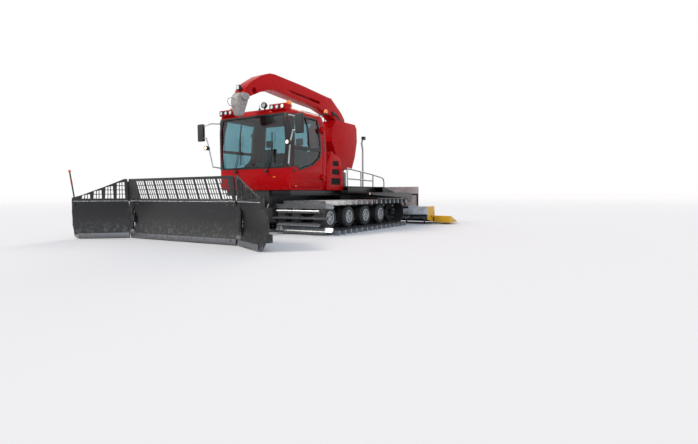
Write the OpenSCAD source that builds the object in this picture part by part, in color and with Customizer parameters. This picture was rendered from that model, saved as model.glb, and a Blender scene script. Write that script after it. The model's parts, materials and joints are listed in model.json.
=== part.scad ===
// Snow groomer on tracks, with a twelve-way blade, a slewing winch and a rear tiller.
// Millimetres. X to the vehicle's left, Y to the rear, Z up.
// The origin is on the ground, under the middle of the whole machine.

/* [Tracks] */
// Outer edge of each track from the centre plane
track_outer_x = 2080; // [1950:10:2200]
// Width of each track
track_w = 1560; // [1450:10:1600]
// Height of a grouser bar over its belt
bar_h = 100; // [70:5:120]
// Width of a grouser bar at its foot
bar_foot = 60; // [50:2:70]
// Width of a grouser bar at its tip
bar_tip = 16; // [10:2:24]
// Number of grouser bars on one track, long and short in turn
bar_count = 70; // [56:2:76]
// Thickness of the rubber belts
belt_t = 25; // [18:1:32]
// Radius of the road wheels over their tyres
tyre_r = 265; // [240:5:280]
// Width of a tyre
tyre_w = 230; // [180:5:250]
// Radius of a rim
rim_r = 150; // [120:5:170]
// Place of the front tension wheel along the machine
first_wheel_y = -1130; // [-1200:10:-1080]
// Distance from one road wheel to the next
wheel_pitch = 830; // [740:10:860]
// Place of the drive sprocket along the machine
sprocket_y = 2530; // [2480:10:2600]

/* [Chassis] */
// Half width of the tub between the tracks
tub_half_w = 420; // [380:5:450]
// Underside of the tub
tub_z0 = 260; // [230:5:320]
// Top of the chassis frame, on which cab and body stand
frame_top_z = 1020; // [980:5:1060]
// Front end of the tub
tub_y0 = -1480; // [-1500:10:-1400]
// Rear end of the tub
tub_y1 = 2740; // [2700:10:2800]

/* [Cab] */
// Half width of the cab at its widest
cab_half_w = 1125; // [1050:5:1180]
// Front of the cab on the centre plane
cab_y0 = -1640; // [-1680:10:-1600]
// Rear wall of the cab
cab_y1 = -130; // [-200:10:-100]
// Top of the roof
cab_z1 = 2900; // [2800:10:3000]
// Thickness of the cab's walls and doors
cab_wall = 45; // [30:1:60]
// Thickness of the panes
pane_t = 10; // [6:1:14]
// Gap round a door
door_gap = 8; // [6:1:14]

/* [Blade] */
// Half width of the blade's middle section
blade_half_w = 1520; // [1400:10:1650]
// Length of each wing of the blade
wing_len = 1200; // [1000:10:1300]
// Front of the blade at its cutting edge
blade_y = -3690; // [-3750:10:-3650]
// Height of the closed mouldboard
mould_z = 800; // [700:10:900]
// Top of the open mesh over the mouldboard
mesh_z = 1260; // [1150:10:1350]
// Depth of the mouldboard's hollow curve
mould_sag = 100; // [70:5:130]
// Thickness of the mouldboard plate
mould_t = 28; // [16:1:36]
// Forward angle of the left wing as parked
wing_left_deg = 27; // [0:1:40]
// Forward angle of the right wing as parked
wing_right_deg = 40; // [0:1:40]

/* [Winch] */
// Place of the winch's slewing axis along the machine
winch_y = 1870; // [1850:10:1900]
// Half width of the drum housing
drum_half_w = 430; // [380:10:450]
// Half width of the boom
boom_half_w = 150; // [110:5:180]

/* [Tiller] */
// Half width of the tiller
tiller_half_w = 2520; // [2400:10:2560]
// Front of the tiller's rotor housing
tiller_y0 = 3180; // [3150:10:3200]
// Axis of the rotor along the machine
rotor_y = 3470; // [3460:5:3480]
// Axis of the rotor above the ground
rotor_z = 230; // [225:5:240]
// Radius over the rotor's teeth
rotor_r = 190; // [160:5:195]
// Width of each side finisher
finisher_w = 500; // [400:10:540]

/* [Hidden] */
$fn = 48;

// Gap between pieces that seat on each other round a curve
seat_gap = 0.3;
// How much fuller than its bar a knee is
knee_bulge = 2;
wheel_z = bar_h + belt_t + tyre_r;
belt_in_r = tyre_r + seat_gap;
belt_out_r = belt_in_r + belt_t - seat_gap;
track_inner_x = track_outer_x - track_w;
wheel_x1 = track_outer_x - 200;
wheel_x0 = wheel_x1 - tyre_w;
wheel_ys = [for (i = [0:3]) first_wheel_y + i * wheel_pitch];

// Copies that stand on both sides of the centre plane
module both() {
    children();
    mirror([1, 0, 0]) children();
}

// A flat outline in Y and Z, drawn out along X
module along_x(x0, x1) {
    translate([x0, 0, 0]) rotate([90, 0, 90]) linear_extrude(x1 - x0) children();
}

// A flat outline in X and Z, drawn out along Y
module along_y(y0, y1) {
    translate([0, y1, 0]) rotate([90, 0, 0]) linear_extrude(y1 - y0) children();
}

// A flat outline in X and Y, drawn out along Z
module along_z(z0, z1) {
    translate([0, 0, z0]) linear_extrude(z1 - z0) children();
}

// A block from its lowest to its highest corner
module block(lo, hi) {
    translate(lo) cube(hi - lo);
}

// A round bar from one point to another
module rod(p, q, r) {
    d = q - p;
    l = norm(d);
    translate(p) rotate([0, acos(d.z / l), atan2(d.y, d.x)]) cylinder(h = l, r = r);
}

// A ball for a knee, turned so that its seam meets no bar's seam
module knee(r) {
    rotate([17, 23, 31]) sphere(r = r);
}

// A round bar that follows points, with round knees
module bent_rod(pts, r) {
    for (i = [0:len(pts) - 2]) rod(pts[i], pts[i + 1], r);
    for (i = [1:len(pts) - 2]) translate(pts[i]) knee(r + knee_bulge);
}

// An ear's flat outline: a round of radius r at c, on a foot from a to b
module ear_outline(c, r, a, b) {
    d = ((a + b) / 2 - c) / norm((a + b) / 2 - c);
    n = [-d.y, d.x] * ((a - c) * [-d.y, d.x] > 0 ? r : -r);
    translate(c) circle(r = r);
    polygon([a, c + n, c - n, b]);
}

// An arm's flat outline, round at both ends
module arm_outline(p, q, rp, rq) {
    d = (q - p) / norm(q - p);
    n = [-d.y, d.x];
    translate(p) circle(r = rp);
    translate(q) circle(r = rq);
    polygon([p + n * rp, q + n * rq, q - n * rq, p - n * rp]);
}

// A cylinder that lies along X
module x_drum(x0, x1, y, z, r) {
    translate([x0, y, z]) rotate([0, 90, 0]) cylinder(h = x1 - x0, r = r);
}

// A cylinder that lies along Y
module y_drum(x, y0, y1, z, r) {
    translate([x, y1, z]) rotate([90, 0, 0]) cylinder(h = y1 - y0, r = r);
}

// Tracks. Belts round the wheels, with grouser bars across them.

run_len = sprocket_y - first_wheel_y;
loop_len = 2 * run_len + 2 * PI * belt_out_r;
bar_pitch = loop_len / bar_count;
// Belts of one track from its inner edge: middle, width, and whether the bars are bolted to it
belts = [[210, 220, false], [620, 240, true], [1245, 280, false]];
// Depth to which a bar's foot is let into its belt
bar_seat = 4;
// Ends of the long and the short bars from the track's inner edge
long_bar = [0, track_w];
short_bar = [110, track_w - 270];

module loop_outline(r) {
    translate([first_wheel_y, wheel_z]) circle(r = r);
    translate([sprocket_y, wheel_z]) circle(r = r);
    translate([first_wheel_y, wheel_z - r]) square([run_len, 2 * r]);
}

// Place and turn of the outline at a distance s along the belt
function loop_spot(s) =
    let (arc = PI * belt_out_r)
    s < run_len ? [first_wheel_y + s, wheel_z + belt_out_r, 0]
    : s < run_len + arc
        ? let (a = (s - run_len) / belt_out_r * 180 / PI)
          [sprocket_y + belt_out_r * sin(a), wheel_z + belt_out_r * cos(a), -a]
    : s < 2 * run_len + arc
        ? [sprocket_y - (s - run_len - arc), wheel_z - belt_out_r, 180]
    : let (a = (s - 2 * run_len - arc) / belt_out_r * 180 / PI)
      [first_wheel_y - belt_out_r * sin(a), wheel_z - belt_out_r * cos(a), 180 - a];

module bar_outline() {
    polygon([[-bar_foot / 2, -bar_seat], [bar_foot / 2, -bar_seat], [bar_tip / 2, bar_h], [-bar_tip / 2, bar_h]]);
}

module track() {
    for (b = belts) {
        along_x(track_inner_x + b[0] - b[1] / 2, track_inner_x + b[0] + b[1] / 2)
            difference() {
                loop_outline(b[2] ? belt_out_r : belt_out_r - bar_seat - seat_gap);
                loop_outline(belt_in_r);
            }
    }
    for (i = [0:bar_count - 1]) {
        spot = loop_spot((i + 0.5) * bar_pitch);
        ends = i % 2 == 0 ? long_bar : short_bar;
        along_x(track_inner_x + ends[0], track_inner_x + ends[1])
            translate([spot[0], spot[1]]) rotate(spot[2]) bar_outline();
    }
}

module track_left() { color("silver") track(); }
module track_right() { color("silver") mirror([1, 0, 0]) track(); }

module tyre_outline() {
    shoulder = 35;
    polygon([[rim_r + seat_gap, 0], [tyre_r - shoulder, 0], [tyre_r, shoulder],
        [tyre_r, tyre_w - shoulder], [tyre_r - shoulder, tyre_w], [rim_r + seat_gap, tyre_w]]);
}

module tyres() {
    color([0.08, 0.08, 0.09]) both() for (y = wheel_ys)
        translate([wheel_x0, y, wheel_z]) rotate([0, 90, 0]) rotate_extrude($fn = 24) tyre_outline();
}

module rim_outline() {
    dish = 60;
    polygon([[0, 40], [60, 40], [rim_r, 0], [rim_r, tyre_w], [rim_r - 18, tyre_w],
        [rim_r - 30, tyre_w - dish], [55, tyre_w - dish], [50, tyre_w - 25], [0, tyre_w - 25]]);
}

module rims() {
    color([0.25, 0.26, 0.28]) both() for (y = wheel_ys)
        translate([wheel_x0, y, wheel_z]) rotate([0, 90, 0]) rotate_extrude($fn = 24) rim_outline();
}

sprocket_r = belt_in_r - seat_gap;
// Sprocket discs from the track's inner edge, in the gaps between the belts
sprocket_discs = [300, 640, 990];
sprocket_disc_w = 70;

arm_t = 60;
arm_reach = 300;

module running_gear() {
    color([0.2, 0.2, 0.21]) both() {
        for (x = sprocket_discs)
            x_drum(track_inner_x + x, track_inner_x + x + sprocket_disc_w, sprocket_y, wheel_z, sprocket_r);
        x_drum(tub_half_w + 60, track_inner_x + 1150, sprocket_y, wheel_z, 90);
        x_drum(tub_half_w, tub_half_w + 60, sprocket_y, wheel_z, 150);
        for (y = wheel_ys) {
            x_drum(tub_half_w, wheel_x0 + 40, y, wheel_z, 45);
            along_x(tub_half_w, tub_half_w + arm_t)
                arm_outline([y, wheel_z], [y + arm_reach, wheel_z + 60], 75, 85);
        }
    }
}

// Chassis. A tub between the tracks and the frame over it.

belly_rise = 240;
frame_z0 = 830;
frame_half_w = 1000;
lift_pin_z = 440;
lift_pin_r = 40;
ear_x = 240;
ear_w = 40;
arm_w = 90;
arm_gap = 2;

// Front ears in which the push frame turns, two to each arm
front_ear_y = tub_y0 - 90;
ear_xs = [ear_x, ear_x + ear_w + arm_w + 2 * arm_gap];

module tub_outline() {
    polygon([[tub_y0, tub_z0 + belly_rise], [tub_y0 + belly_rise, tub_z0], [tub_y1 - belly_rise, tub_z0],
        [tub_y1, tub_z0 + belly_rise], [tub_y1, frame_z0], [tub_y0, frame_z0]]);
}

rear_ear_y = tub_y1 + 80;
rear_ear_z = 620;

// Towing eyes at both ends of the tub: along the machine, height
eye_r = 22;
eye_half_t = 25;
front_eye = [tub_y0 - 60, 590];
rear_eye = [tub_y1 + 60, 420];

module chassis() {
    color([0.13, 0.13, 0.14]) difference() {
        union() {
            along_x(-tub_half_w, tub_half_w) tub_outline();
            block([-tub_half_w, tub_y0, frame_z0], [tub_half_w, tub_y1, frame_top_z]);
            block([-frame_half_w, tub_y0 + 60, frame_z0 + 60], [frame_half_w, 700, frame_top_z]);
            both() for (x = ear_xs) along_x(x, x + ear_w) ear_outline([front_ear_y, lift_pin_z], 75,
                [tub_y0 + 40, tub_z0 + belly_rise - 30], [tub_y0 + 40, tub_z0 + belly_rise + 260]);
            both() for (x = ear_xs) along_x(x, x + ear_w) ear_outline([rear_ear_y, rear_ear_z], 70,
                [tub_y1 - 30, rear_ear_z - 100], [tub_y1 - 30, rear_ear_z + 140]);
            tow_plate(front_eye, 90);
            tow_plate(rear_eye, -240);
            both() along_x(lift_top_x - 60, lift_top_x - 30) lift_ear_outline();
            both() along_x(lift_top_x + 30, lift_top_x + 60) lift_ear_outline();
            both() along_x(rear_lift_x - 60, rear_lift_x - 30) rear_lift_ear_outline();
            both() along_x(rear_lift_x + 30, rear_lift_x + 60) rear_lift_ear_outline();
        }
        for (e = [front_eye, rear_eye]) translate([0, e[0], e[1] - eye_half_t - 1]) cylinder(h = 2 * eye_half_t + 2, r = eye_r);
        both() x_drum(ear_x - 1, ear_x + 3 * ear_w + arm_w, front_ear_y, lift_pin_z, lift_pin_r + 0.4);
        both() x_drum(ear_x - 1, ear_x + 3 * ear_w + arm_w, rear_ear_y, rear_ear_z, lift_pin_r + 0.4);
        both() x_drum(lift_top_x - 61, lift_top_x + 61, lift_top.y, lift_top.z, cyl_pin_r + 0.4);
        both() x_drum(rear_lift_x - 61, rear_lift_x + 61, rear_lift_top.y, rear_lift_top.z, cyl_pin_r + 0.4);
    }
}

// A flat plate with an upright hole for a tow pin; it runs back to the hull by reach
module tow_plate(e, reach) {
    along_z(e[1] - eye_half_t, e[1] + eye_half_t) ear_outline([0, e[0]], 55, [-80, e[0] + reach], [80, e[0] + reach]);
}

module lift_ear_outline() {
    ear_outline([lift_top.y, lift_top.z], 50, [tub_y0 + 10, lift_top.z - 90], [tub_y0 + 10, lift_top.z + 90]);
}

module rear_lift_ear_outline() {
    ear_outline([rear_lift_top.y, rear_lift_top.z], 50, [tub_y1 - 10, rear_lift_top.z - 100],
        [tub_y1 - 10, rear_lift_top.z + 55]);
}

module engine_block() {
    color([0.3, 0.3, 0.32]) block([-330, 60, frame_top_z], [330, 540, 1700]);
}

// Body behind the cab, over the engine, with three intakes on each side

body_y0 = -90;
body_y1 = 700;
body_wall = 40;
body_half_w = 1100;
body_top = [[body_y0, 1640], [150, 2010], [560, 1840], [body_y1, 1560]];

function body_outline(t) = [[body_y0 + t, frame_top_z - 1 + (t > 0 ? 0 : 1)],
    for (p = body_top) [min(max(p[0], body_y0 + t), body_y1 - t), p[1] - t],
    [body_y1 - t, frame_top_z - 1 + (t > 0 ? 0 : 1)]];

// Intake openings in a side of the body: front y, rear y, low z, high z
intakes = [[200, 480, 1640, 1770], [170, 520, 1420, 1560], [120, 560, 1160, 1330]];

module rear_body() {
    color([0.75, 0.05, 0.06]) difference() {
        along_x(-body_half_w, body_half_w) polygon(body_outline(0));
        along_x(-body_half_w + body_wall, body_half_w - body_wall) polygon(body_outline(body_wall));
        for (i = intakes) block([-body_half_w - 1, i[0], i[2]], [body_half_w + 1, i[1], i[3]]);
    }
}

// Rear deck, fenders over the tracks and the rail round the deck

deck_z = 1130;
deck_t = 40;
deck_half_w = 1250;
deck_y0 = body_y1 + 5;
deck_y1 = 2270;
base_r = 420;

module deck() {
    color([0.2, 0.2, 0.21]) difference() {
        union() {
            block([-deck_half_w, deck_y0, deck_z - deck_t], [deck_half_w, deck_y1, deck_z]);
            both() block([tub_half_w - 60, deck_y0 + 20, frame_top_z], [tub_half_w, deck_y1 - 20, deck_z - deck_t]);
        }
        along_z(frame_top_z - 1, deck_z + 1) translate([0, winch_y]) circle(r = base_r + 4);
    }
    fenders();
}

fender_y0 = 480;
fender_y1 = 3160;
fender_z = 960;
fender_t = 30;
fender_x0 = tub_half_w + seat_gap;
fender_x1 = 2040;

module fender_outline() {
    polygon([[fender_y0, fender_z - fender_t], [fender_y1 - 180, fender_z - fender_t],
        [fender_y1 - 30, fender_z - 170], [fender_y1, fender_z - 170], [fender_y1 - 130, fender_z],
        [fender_y0, fender_z]]);
}

module fenders() {
    color([0.2, 0.2, 0.21]) both() {
        along_x(frame_half_w + seat_gap, fender_x1) fender_outline();
        along_x(fender_x0, frame_half_w + seat_gap)
            intersection() {
                fender_outline();
                translate([body_y1 + 6, 0]) square([3000, 2000]);
            }
    }
}

rail_x = 1200;
rail_r = 20;

module handrails() {
    color([0.12, 0.12, 0.13]) both() {
        bent_rod([[rail_x, 760, deck_z], [rail_x, 760, 1600], [rail_x, 1500, 1540], [rail_x, 2220, 1480],
            [rail_x, 2220, deck_z]], rail_r);
        rod([rail_x, 780, 1330], [rail_x, 2215, 1300], rail_r);
        rod([rail_x, 1500, deck_z], [rail_x, 1500, 1540], rail_r);
    }
    lamp_post();
}

module lamp_post() {
    color([0.12, 0.12, 0.13]) {
        bent_rod([[900, 2150, deck_z], [900, 2150, 2220], [900, 2085, 2400], [900, 2160, 2530]], 26);
        block([862, 2135, 2510], [938, 2260, 2600]);
    }
}

// Cab. Three outlines cut one solid, and a smaller one hollows it.

cab_z0 = frame_top_z;
cab_zc = (cab_z0 + cab_z1) / 2;
cab_hh = (cab_z1 - cab_z0) / 2;
cab_yc = (cab_y0 + cab_y1) / 2;
cab_hy = (cab_y1 - cab_y0) / 2;
// Height at which the cab is widest and its front reaches furthest
cab_zm = 1930;
roof_round = 130;
// How much the sides draw in at the sill and at the eaves, as a share of the half width
sill_draw = 0.07;
eaves_draw = 0.1;
// How far the front draws back at the sill and at the eaves
sill_back = 111;
eaves_back = 95;
// Front seen from above: where its corner starts, how far it is crowned, and the corner's depth
corner_x = 800;
front_crown = 30;
corner_d = 160;
cab_steps = 7;
round_steps = 5;

eaves_z = cab_z1 - roof_round;
// Share of the way from the widest height down to the sill or up to the eaves
function off_widest(z) = (z - cab_zm) / (z < cab_zm ? cab_zm - cab_z0 : eaves_z - cab_zm);
function side_x(z) = cab_half_w * (1 - (z < cab_zm ? sill_draw : eaves_draw) * pow(off_widest(z), 2));
function front_y(z) = cab_y0 + (z < cab_zm ? sill_back : eaves_back) * pow(off_widest(z), 2);
function step_z(i) = cab_z0 + i * (eaves_z - cab_z0) / cab_steps;
function mirrored(pts) = concat(pts, [for (i = [len(pts) - 1:-1:0]) [-pts[i][0], pts[i][1]]]);

front_half = concat([for (i = [0:cab_steps]) [side_x(step_z(i)), step_z(i)]],
    [for (i = [1:round_steps]) let (a = 90 * i / round_steps)
        [side_x(eaves_z) - roof_round * (1 - cos(a)), eaves_z + roof_round * sin(a) - 12]],
    [[300, cab_z1]]);
side_loop = concat([for (i = [0:cab_steps]) [front_y(step_z(i)), step_z(i)]],
    [for (i = [1:round_steps]) let (a = 90 * i / round_steps)
        [front_y(eaves_z) + roof_round * (1 - cos(a)), eaves_z + roof_round * sin(a) - 8]],
    [[-1100, cab_z1], [-700, cab_z1], [cab_y1 - 90, cab_z1 - 20], [cab_y1 - 20, cab_z1 - 70],
        [cab_y1, cab_z1 - 160], [cab_y1, cab_z0]]);
plan_half = concat([for (i = [0:3]) [corner_x * i / 3, cab_y0 + front_crown * pow(i / 3, 2)]],
    [for (i = [1:round_steps + 1]) let (a = 90 * i / (round_steps + 1))
        [corner_x + (cab_half_w - corner_x) * sin(a), cab_y0 + front_crown + corner_d * (1 - cos(a))]],
    [[cab_half_w, cab_y1]]);

// The same outline drawn in by t on every side
function drawn_in(pts, c, h, t) = [for (p = pts)
    [c[0] + (p[0] - c[0]) * (h[0] - t) / h[0], c[1] + (p[1] - c[1]) * (h[1] - t) / h[1]]];
function front_pts(t) = drawn_in(mirrored(front_half), [0, cab_zc], [cab_half_w, cab_hh], t);
function side_pts(t) = drawn_in(side_loop, [cab_yc, cab_zc], [cab_hy, cab_hh], t);
function plan_pts(t) = drawn_in(mirrored([for (i = [1:len(plan_half) - 1]) plan_half[i]]),
    [0, cab_yc], [cab_half_w, cab_hy], t);

module cab_solid(t) {
    intersection() {
        along_x(-cab_half_w - 50, cab_half_w + 50) polygon(side_pts(t));
        along_y(cab_y0 - 50, cab_y1 + 50) polygon(front_pts(t));
        along_z(cab_z0 - 50, cab_z1 + 50) polygon(plan_pts(t));
    }
}

module cab_walls(t0, t1) {
    difference() {
        cab_solid(t0);
        cab_solid(t1);
    }
}

// Windscreen: half width, height
screen_half = [[930, 1525], [1000, 1800], [1020, 2050], [1000, 2400], [950, 2735]];
function screen_pts(g) = concat([for (p = screen_half) [p[0] - g, p[1] + (p[1] < 2000 ? g : -g)]],
    [for (i = [len(screen_half) - 1:-1:0])
        [g - screen_half[i][0], screen_half[i][1] + (screen_half[i][1] < 2000 ? g : -g)]]);

hinge_x = cab_half_w + 28;
hinge_y = -294;
hinge_r = 18;
hinge_pin_r = 8;
// A hinge leaf reaches this far into the side
leaf_in = 20;
// Lower ends of a door's hinges
door_hinge_z = [1300, 2450];

// Door outline: y, z
door_y1 = -300;
door_pts = [[-1480, cab_z0 + 50], [door_y1, cab_z0 + 50], [door_y1, 2785], [-1400, 2785], [-1490, 2000],
    [-1490, 1500]];
// Upper and lower pane of a door: y, z
door_panes = [[[-1430, 2010], [-370, 2010], [-370, 2725], [-1355, 2725]],
    [[-1430, 1560], [-1290, 1560], [-1200, 1490], [-680, 1620], [-420, 1790], [-370, 1960], [-1430, 1960]]];
rear_pane = [[-850, 2000], [850, 2000], [800, 2700], [-800, 2700]];

function toward_mid(pts, g) = let (
    ys = [for (p = pts) p[0]], zs = [for (p = pts) p[1]],
    my = (max(ys) + min(ys)) / 2, mz = (max(zs) + min(zs)) / 2,
    hy = (max(ys) - min(ys)) / 2, hz = (max(zs) - min(zs)) / 2)
    [for (p = pts) [my + (p[0] - my) * (hy - g) / hy, mz + (p[1] - mz) * (hz - g) / hz]];

// A door's prism reaches in from the side to here
door_in_x = 900;

module door_prism(g) {
    along_x(door_in_x, cab_half_w + 60) polygon(toward_mid(door_pts, g));
}

module cab_shell() {
    color([0.75, 0.05, 0.06]) difference() {
        cab_walls(0, cab_wall);
        along_y(cab_y0 - 60, -1350) polygon(screen_pts(0));
        along_y(cab_y1 - 100, cab_y1 + 60) polygon(rear_pane);
        both() door_prism(0);
    }
    color([0.75, 0.05, 0.06]) both() for (z = door_hinge_z) {
        for (h = [z - 31, z + 81]) {
            translate([hinge_x, hinge_y, h]) cylinder(h = 30, r = hinge_r);
            block([side_x(h) - leaf_in, hinge_y + 2, h], [hinge_x, hinge_y + 90, h + 30]);
        }
        translate([hinge_x, hinge_y, z - 31]) cylinder(h = 142, r = hinge_pin_r);
    }
}

// A pane lies half way in the wall, a hair clear of its frame
pane_in = cab_wall / 2 - pane_t / 2;

module cab_glass() {
    color([0.1, 0.25, 0.28, 0.5]) intersection() {
        cab_walls(pane_in, pane_in + pane_t);
        union() {
            along_y(cab_y0 - 60, -1350) polygon(screen_pts(seat_gap));
            along_y(cab_y1 - 100, cab_y1 + 60) polygon(toward_mid(rear_pane, seat_gap));
        }
    }
}

module door() {
    difference() {
        intersection() {
            cab_walls(0, cab_wall);
            door_prism(door_gap);
        }
        for (p = door_panes) along_x(door_in_x, cab_half_w + 60) polygon(p);
        for (z = door_hinge_z) translate([hinge_x, hinge_y, z - 1]) cylinder(h = 82, r = hinge_r + 1);
    }
    for (z = door_hinge_z) difference() {
        union() {
            translate([hinge_x, hinge_y, z]) cylinder(h = 80, r = hinge_r);
            block([side_x(z) - leaf_in, hinge_y - 68, z], [hinge_x, hinge_y - 12, z + 80]);
        }
        translate([hinge_x, hinge_y, z - 1]) cylinder(h = 82, r = hinge_pin_r + 0.4);
    }
}

module door_glass() {
    intersection() {
        cab_walls(pane_in, pane_in + pane_t);
        for (p = door_panes) along_x(door_in_x, cab_half_w + 60) polygon(toward_mid(p, seat_gap));
    }
}

module door_left() { color([0.75, 0.05, 0.06]) door(); }
module door_right() { color([0.75, 0.05, 0.06]) mirror([1, 0, 0]) door(); }
module door_glass_left() { color([0.1, 0.25, 0.28, 0.5]) door_glass(); }
module door_glass_right() { color([0.1, 0.25, 0.28, 0.5]) mirror([1, 0, 0]) door_glass(); }

floor_z = cab_z0 + cab_wall;
seat_xs = [-480, 480];

module seats() {
    color([0.12, 0.12, 0.13]) for (x = seat_xs) {
        block([x - 180, -880, floor_z], [x + 180, -520, floor_z + 330]);
        block([x - 260, -1000, floor_z + 330], [x + 260, -460, floor_z + 460]);
        block([x - 250, -440, floor_z + 350], [x + 250, -320, floor_z + 1050]);
        block([x - 120, -430, floor_z + 1060], [x + 120, -330, floor_z + 1260]);
        block([x - 60, -400, floor_z + 1050], [x + 60, -360, floor_z + 1060]);
        block([x - 200, -460, floor_z + 380], [x + 200, -440, floor_z + 440]);
    }
}

module dashboard() {
    color([0.1, 0.1, 0.11]) {
        along_x(-900, 900) polygon([[-1500, floor_z + 150], [-1330, floor_z + 200], [-1290, floor_z + 330],
            [-1480, floor_z + 400], [-1520, floor_z + 380]]);
        block([-150, -1480, floor_z], [150, -1380, floor_z + 190]);
    }
}

module wipers() {
    color([0.05, 0.05, 0.05]) difference() {
        for (s = [-1, 1]) {
            x = s * 480;
            y_drum(x, cab_y0 - 20, cab_y0 + 80, 1450, 20);
            rod([x, cab_y0 - 10, 1450], [x + 190, cab_y0 - 20, 1960], 9);
            block([x + 178, cab_y0 - 16, 1620], [x + 202, cab_y0 - 4, 2320]);
        }
        cab_solid(-seat_gap);
    }
}

// Mirrors on bent arms at the front pillars
mirror_c = [1508, -1740, 2440];
mirror_size = [200, 80, 420];
// Knee of the lower arm, on which the work lamp sits
lamp_knee = [1250, -1740, 2050];
mirror_arm_r = 16;

module mirrors() {
    color([0.05, 0.05, 0.06]) both() difference() {
        union() {
            block(mirror_c - mirror_size / 2, mirror_c + mirror_size / 2);
            bent_rod([[990, -1480, 2650], [1200, -1700, 2650], [1385, mirror_c.y, 2600],
                [mirror_c.x, mirror_c.y, 2600]], mirror_arm_r);
            bent_rod([[1040, -1500, 1560], [1170, -1700, 1600], lamp_knee,
                [1330, mirror_c.y, 2300], [mirror_c.x, mirror_c.y, 2300]], mirror_arm_r);
        }
        cab_solid(-seat_gap);
    }
}

// Lamps in the two roof pods, from the centre plane
roof_lamp_xs = [640, 790, 940];
roof_lamp_z = 2880;
roof_lamp_r = 50;
pod_y0 = -1600;
beacon_x = 880;
beacon_y = -1300;
beacon_r = 65;
work_lamp_r = 52;

module lamps() {
    color([0.9, 0.9, 0.85]) both() {
        difference() {
            union() {
                block([560, pod_y0, 2815], [1010, -1400, 2945]);
                for (x = roof_lamp_xs) y_drum(x, pod_y0 - 18, pod_y0 + 1, roof_lamp_z, roof_lamp_r);
                translate([beacon_x, beacon_y, 2850]) cylinder(h = 200, r = beacon_r);
            }
            cab_solid(-seat_gap);
        }
        y_drum(lamp_knee.x, lamp_knee.y - 110, lamp_knee.y - mirror_arm_r - knee_bulge - seat_gap, lamp_knee.z, work_lamp_r);
    }
}

// Winch. A round base on the deck carries the housing, and the boom reaches over the cab.

base_top = 1640;
housing_z0 = base_top + 10;
housing_z1 = 3020;
// Side outline of the drum housing from the slewing axis: y, z
housing_pts = [[-660, 2400], [-640, 2780], [-420, housing_z1], [640, housing_z1], [740, 2900], [760, 2520], [640, 2060],
    [430, housing_z0], [-60, housing_z0], [-420, 2000]];

module winch_base() {
    color([0.15, 0.15, 0.16]) {
        translate([0, winch_y, frame_top_z]) cylinder(h = base_top - 80 - frame_top_z, r = base_r);
        translate([0, winch_y, base_top - 80]) cylinder(h = 80, r = 360);
        translate([0, winch_y, base_top]) cylinder(h = 60, r = 120);
    }
}

module winch_housing() {
    color([0.75, 0.05, 0.06]) difference() {
        along_x(-drum_half_w, drum_half_w) translate([winch_y, 0]) polygon(housing_pts);
        translate([0, winch_y, base_top - 1]) cylinder(h = 64, r = 120.5);
    }
}

// Side outline of the boom from the slewing axis: y, z
boom_low = [[100, housing_z1 + seat_gap], [-250, 3180], [-880, 3320], [-2170, 3390], [-2790, 3440], [-3020, 3400],
    [-3310, 3300], [-3640, 3150]];
boom_high = [[-3850, 3160], [-3790, 3300], [-3600, 3480], [-3260, 3690], [-2960, 3810], [-2780, 3830],
    [-2350, 3810], [-1630, 3780], [-430, 3690], [-260, 3690], [300, 3350], [480, 3180], [520, housing_z1 + seat_gap]];
boom_slot = [[-2280, 3560], [-850, 3500], [-820, 3440], [-880, 3430], [-2100, 3500]];

module winch_boom() {
    color([0.75, 0.05, 0.06]) translate([0, winch_y, 0]) difference() {
        along_x(-boom_half_w, boom_half_w) polygon(concat(boom_low, boom_high));
        along_x(-boom_half_w - 1, boom_half_w + 1) polygon(boom_slot);
        x_drum(-boom_half_w - 1, boom_half_w + 1, -3500, 3300, 75);
    }
}

head_y = winch_y - 3850;
head_z0 = 2720;

module sheave_head() {
    color([0.5, 0.5, 0.52]) {
        both() along_x(boom_half_w + seat_gap, boom_half_w + 12) polygon([[head_y - 100, 3120], [head_y - 60, 3180],
            [head_y + 220, 3210], [head_y + 190, 3080], [head_y + 80, head_z0], [head_y - 40, head_z0],
            [head_y - 110, 2900]]);
        x_drum(-boom_half_w + 40, boom_half_w - 40, head_y - 10, 2960, 130);
        x_drum(-boom_half_w - seat_gap - 1, boom_half_w + seat_gap + 1, head_y - 10, 2960, 30);
    }
}

// Blade. A hollow curved mouldboard with an open mesh over it.

sag_r = (pow((mould_z - 20) / 2, 2) + pow(mould_sag, 2)) / (2 * mould_sag);
mould_zc = (mould_z + 20) / 2;
arc_half = asin((mould_z - 20) / 2 / sag_r);
arc_cy = blade_y + mould_sag - sag_r;
edge_z0 = 15;

function arc_pts(r, n, up) = [for (i = [0:n]) let (a = (up ? -1 : 1) * arc_half * (1 - 2 * i / n))
    [arc_cy + r * cos(a), mould_zc + r * sin(a)]];

module mould_outline() {
    polygon(concat(arc_pts(sag_r, 10, true), arc_pts(sag_r + mould_t, 10, false)));
}

mesh_t = 20;
mesh_lean = 30;

module mesh_outline() {
    polygon([[blade_y, mould_z - 4], [blade_y + mesh_t, mould_z - 4],
        [blade_y + mesh_t - mesh_lean, mesh_z], [blade_y - mesh_lean, mesh_z]]);
}

// Open windows of the mesh between x0 and x1, with slanted bars between them
module mesh_windows(x0, x1, count) {
    pitch = (x1 - x0) / count;
    bar = 36;
    slant = 60;
    z0 = mould_z + 50;
    z1 = mesh_z - 45;
    along_y(blade_y - 100, blade_y + 100) for (i = [0:count - 1])
        polygon([[x0 + i * pitch + bar, z0], [x0 + (i + 1) * pitch, z0],
            [x0 + (i + 1) * pitch + slant, z1], [x0 + i * pitch + bar + slant, z1]]);
}

beam_d = 130;

module back_beams(x0, x1) {
    y0 = blade_y + mould_sag + mould_t - 10;
    block([x0, y0 - 25, 560], [x1, y0 + beam_d, 700]);
    block([x0, y0 - 25, 130], [x1, y0 + beam_d, 270]);
}

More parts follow.
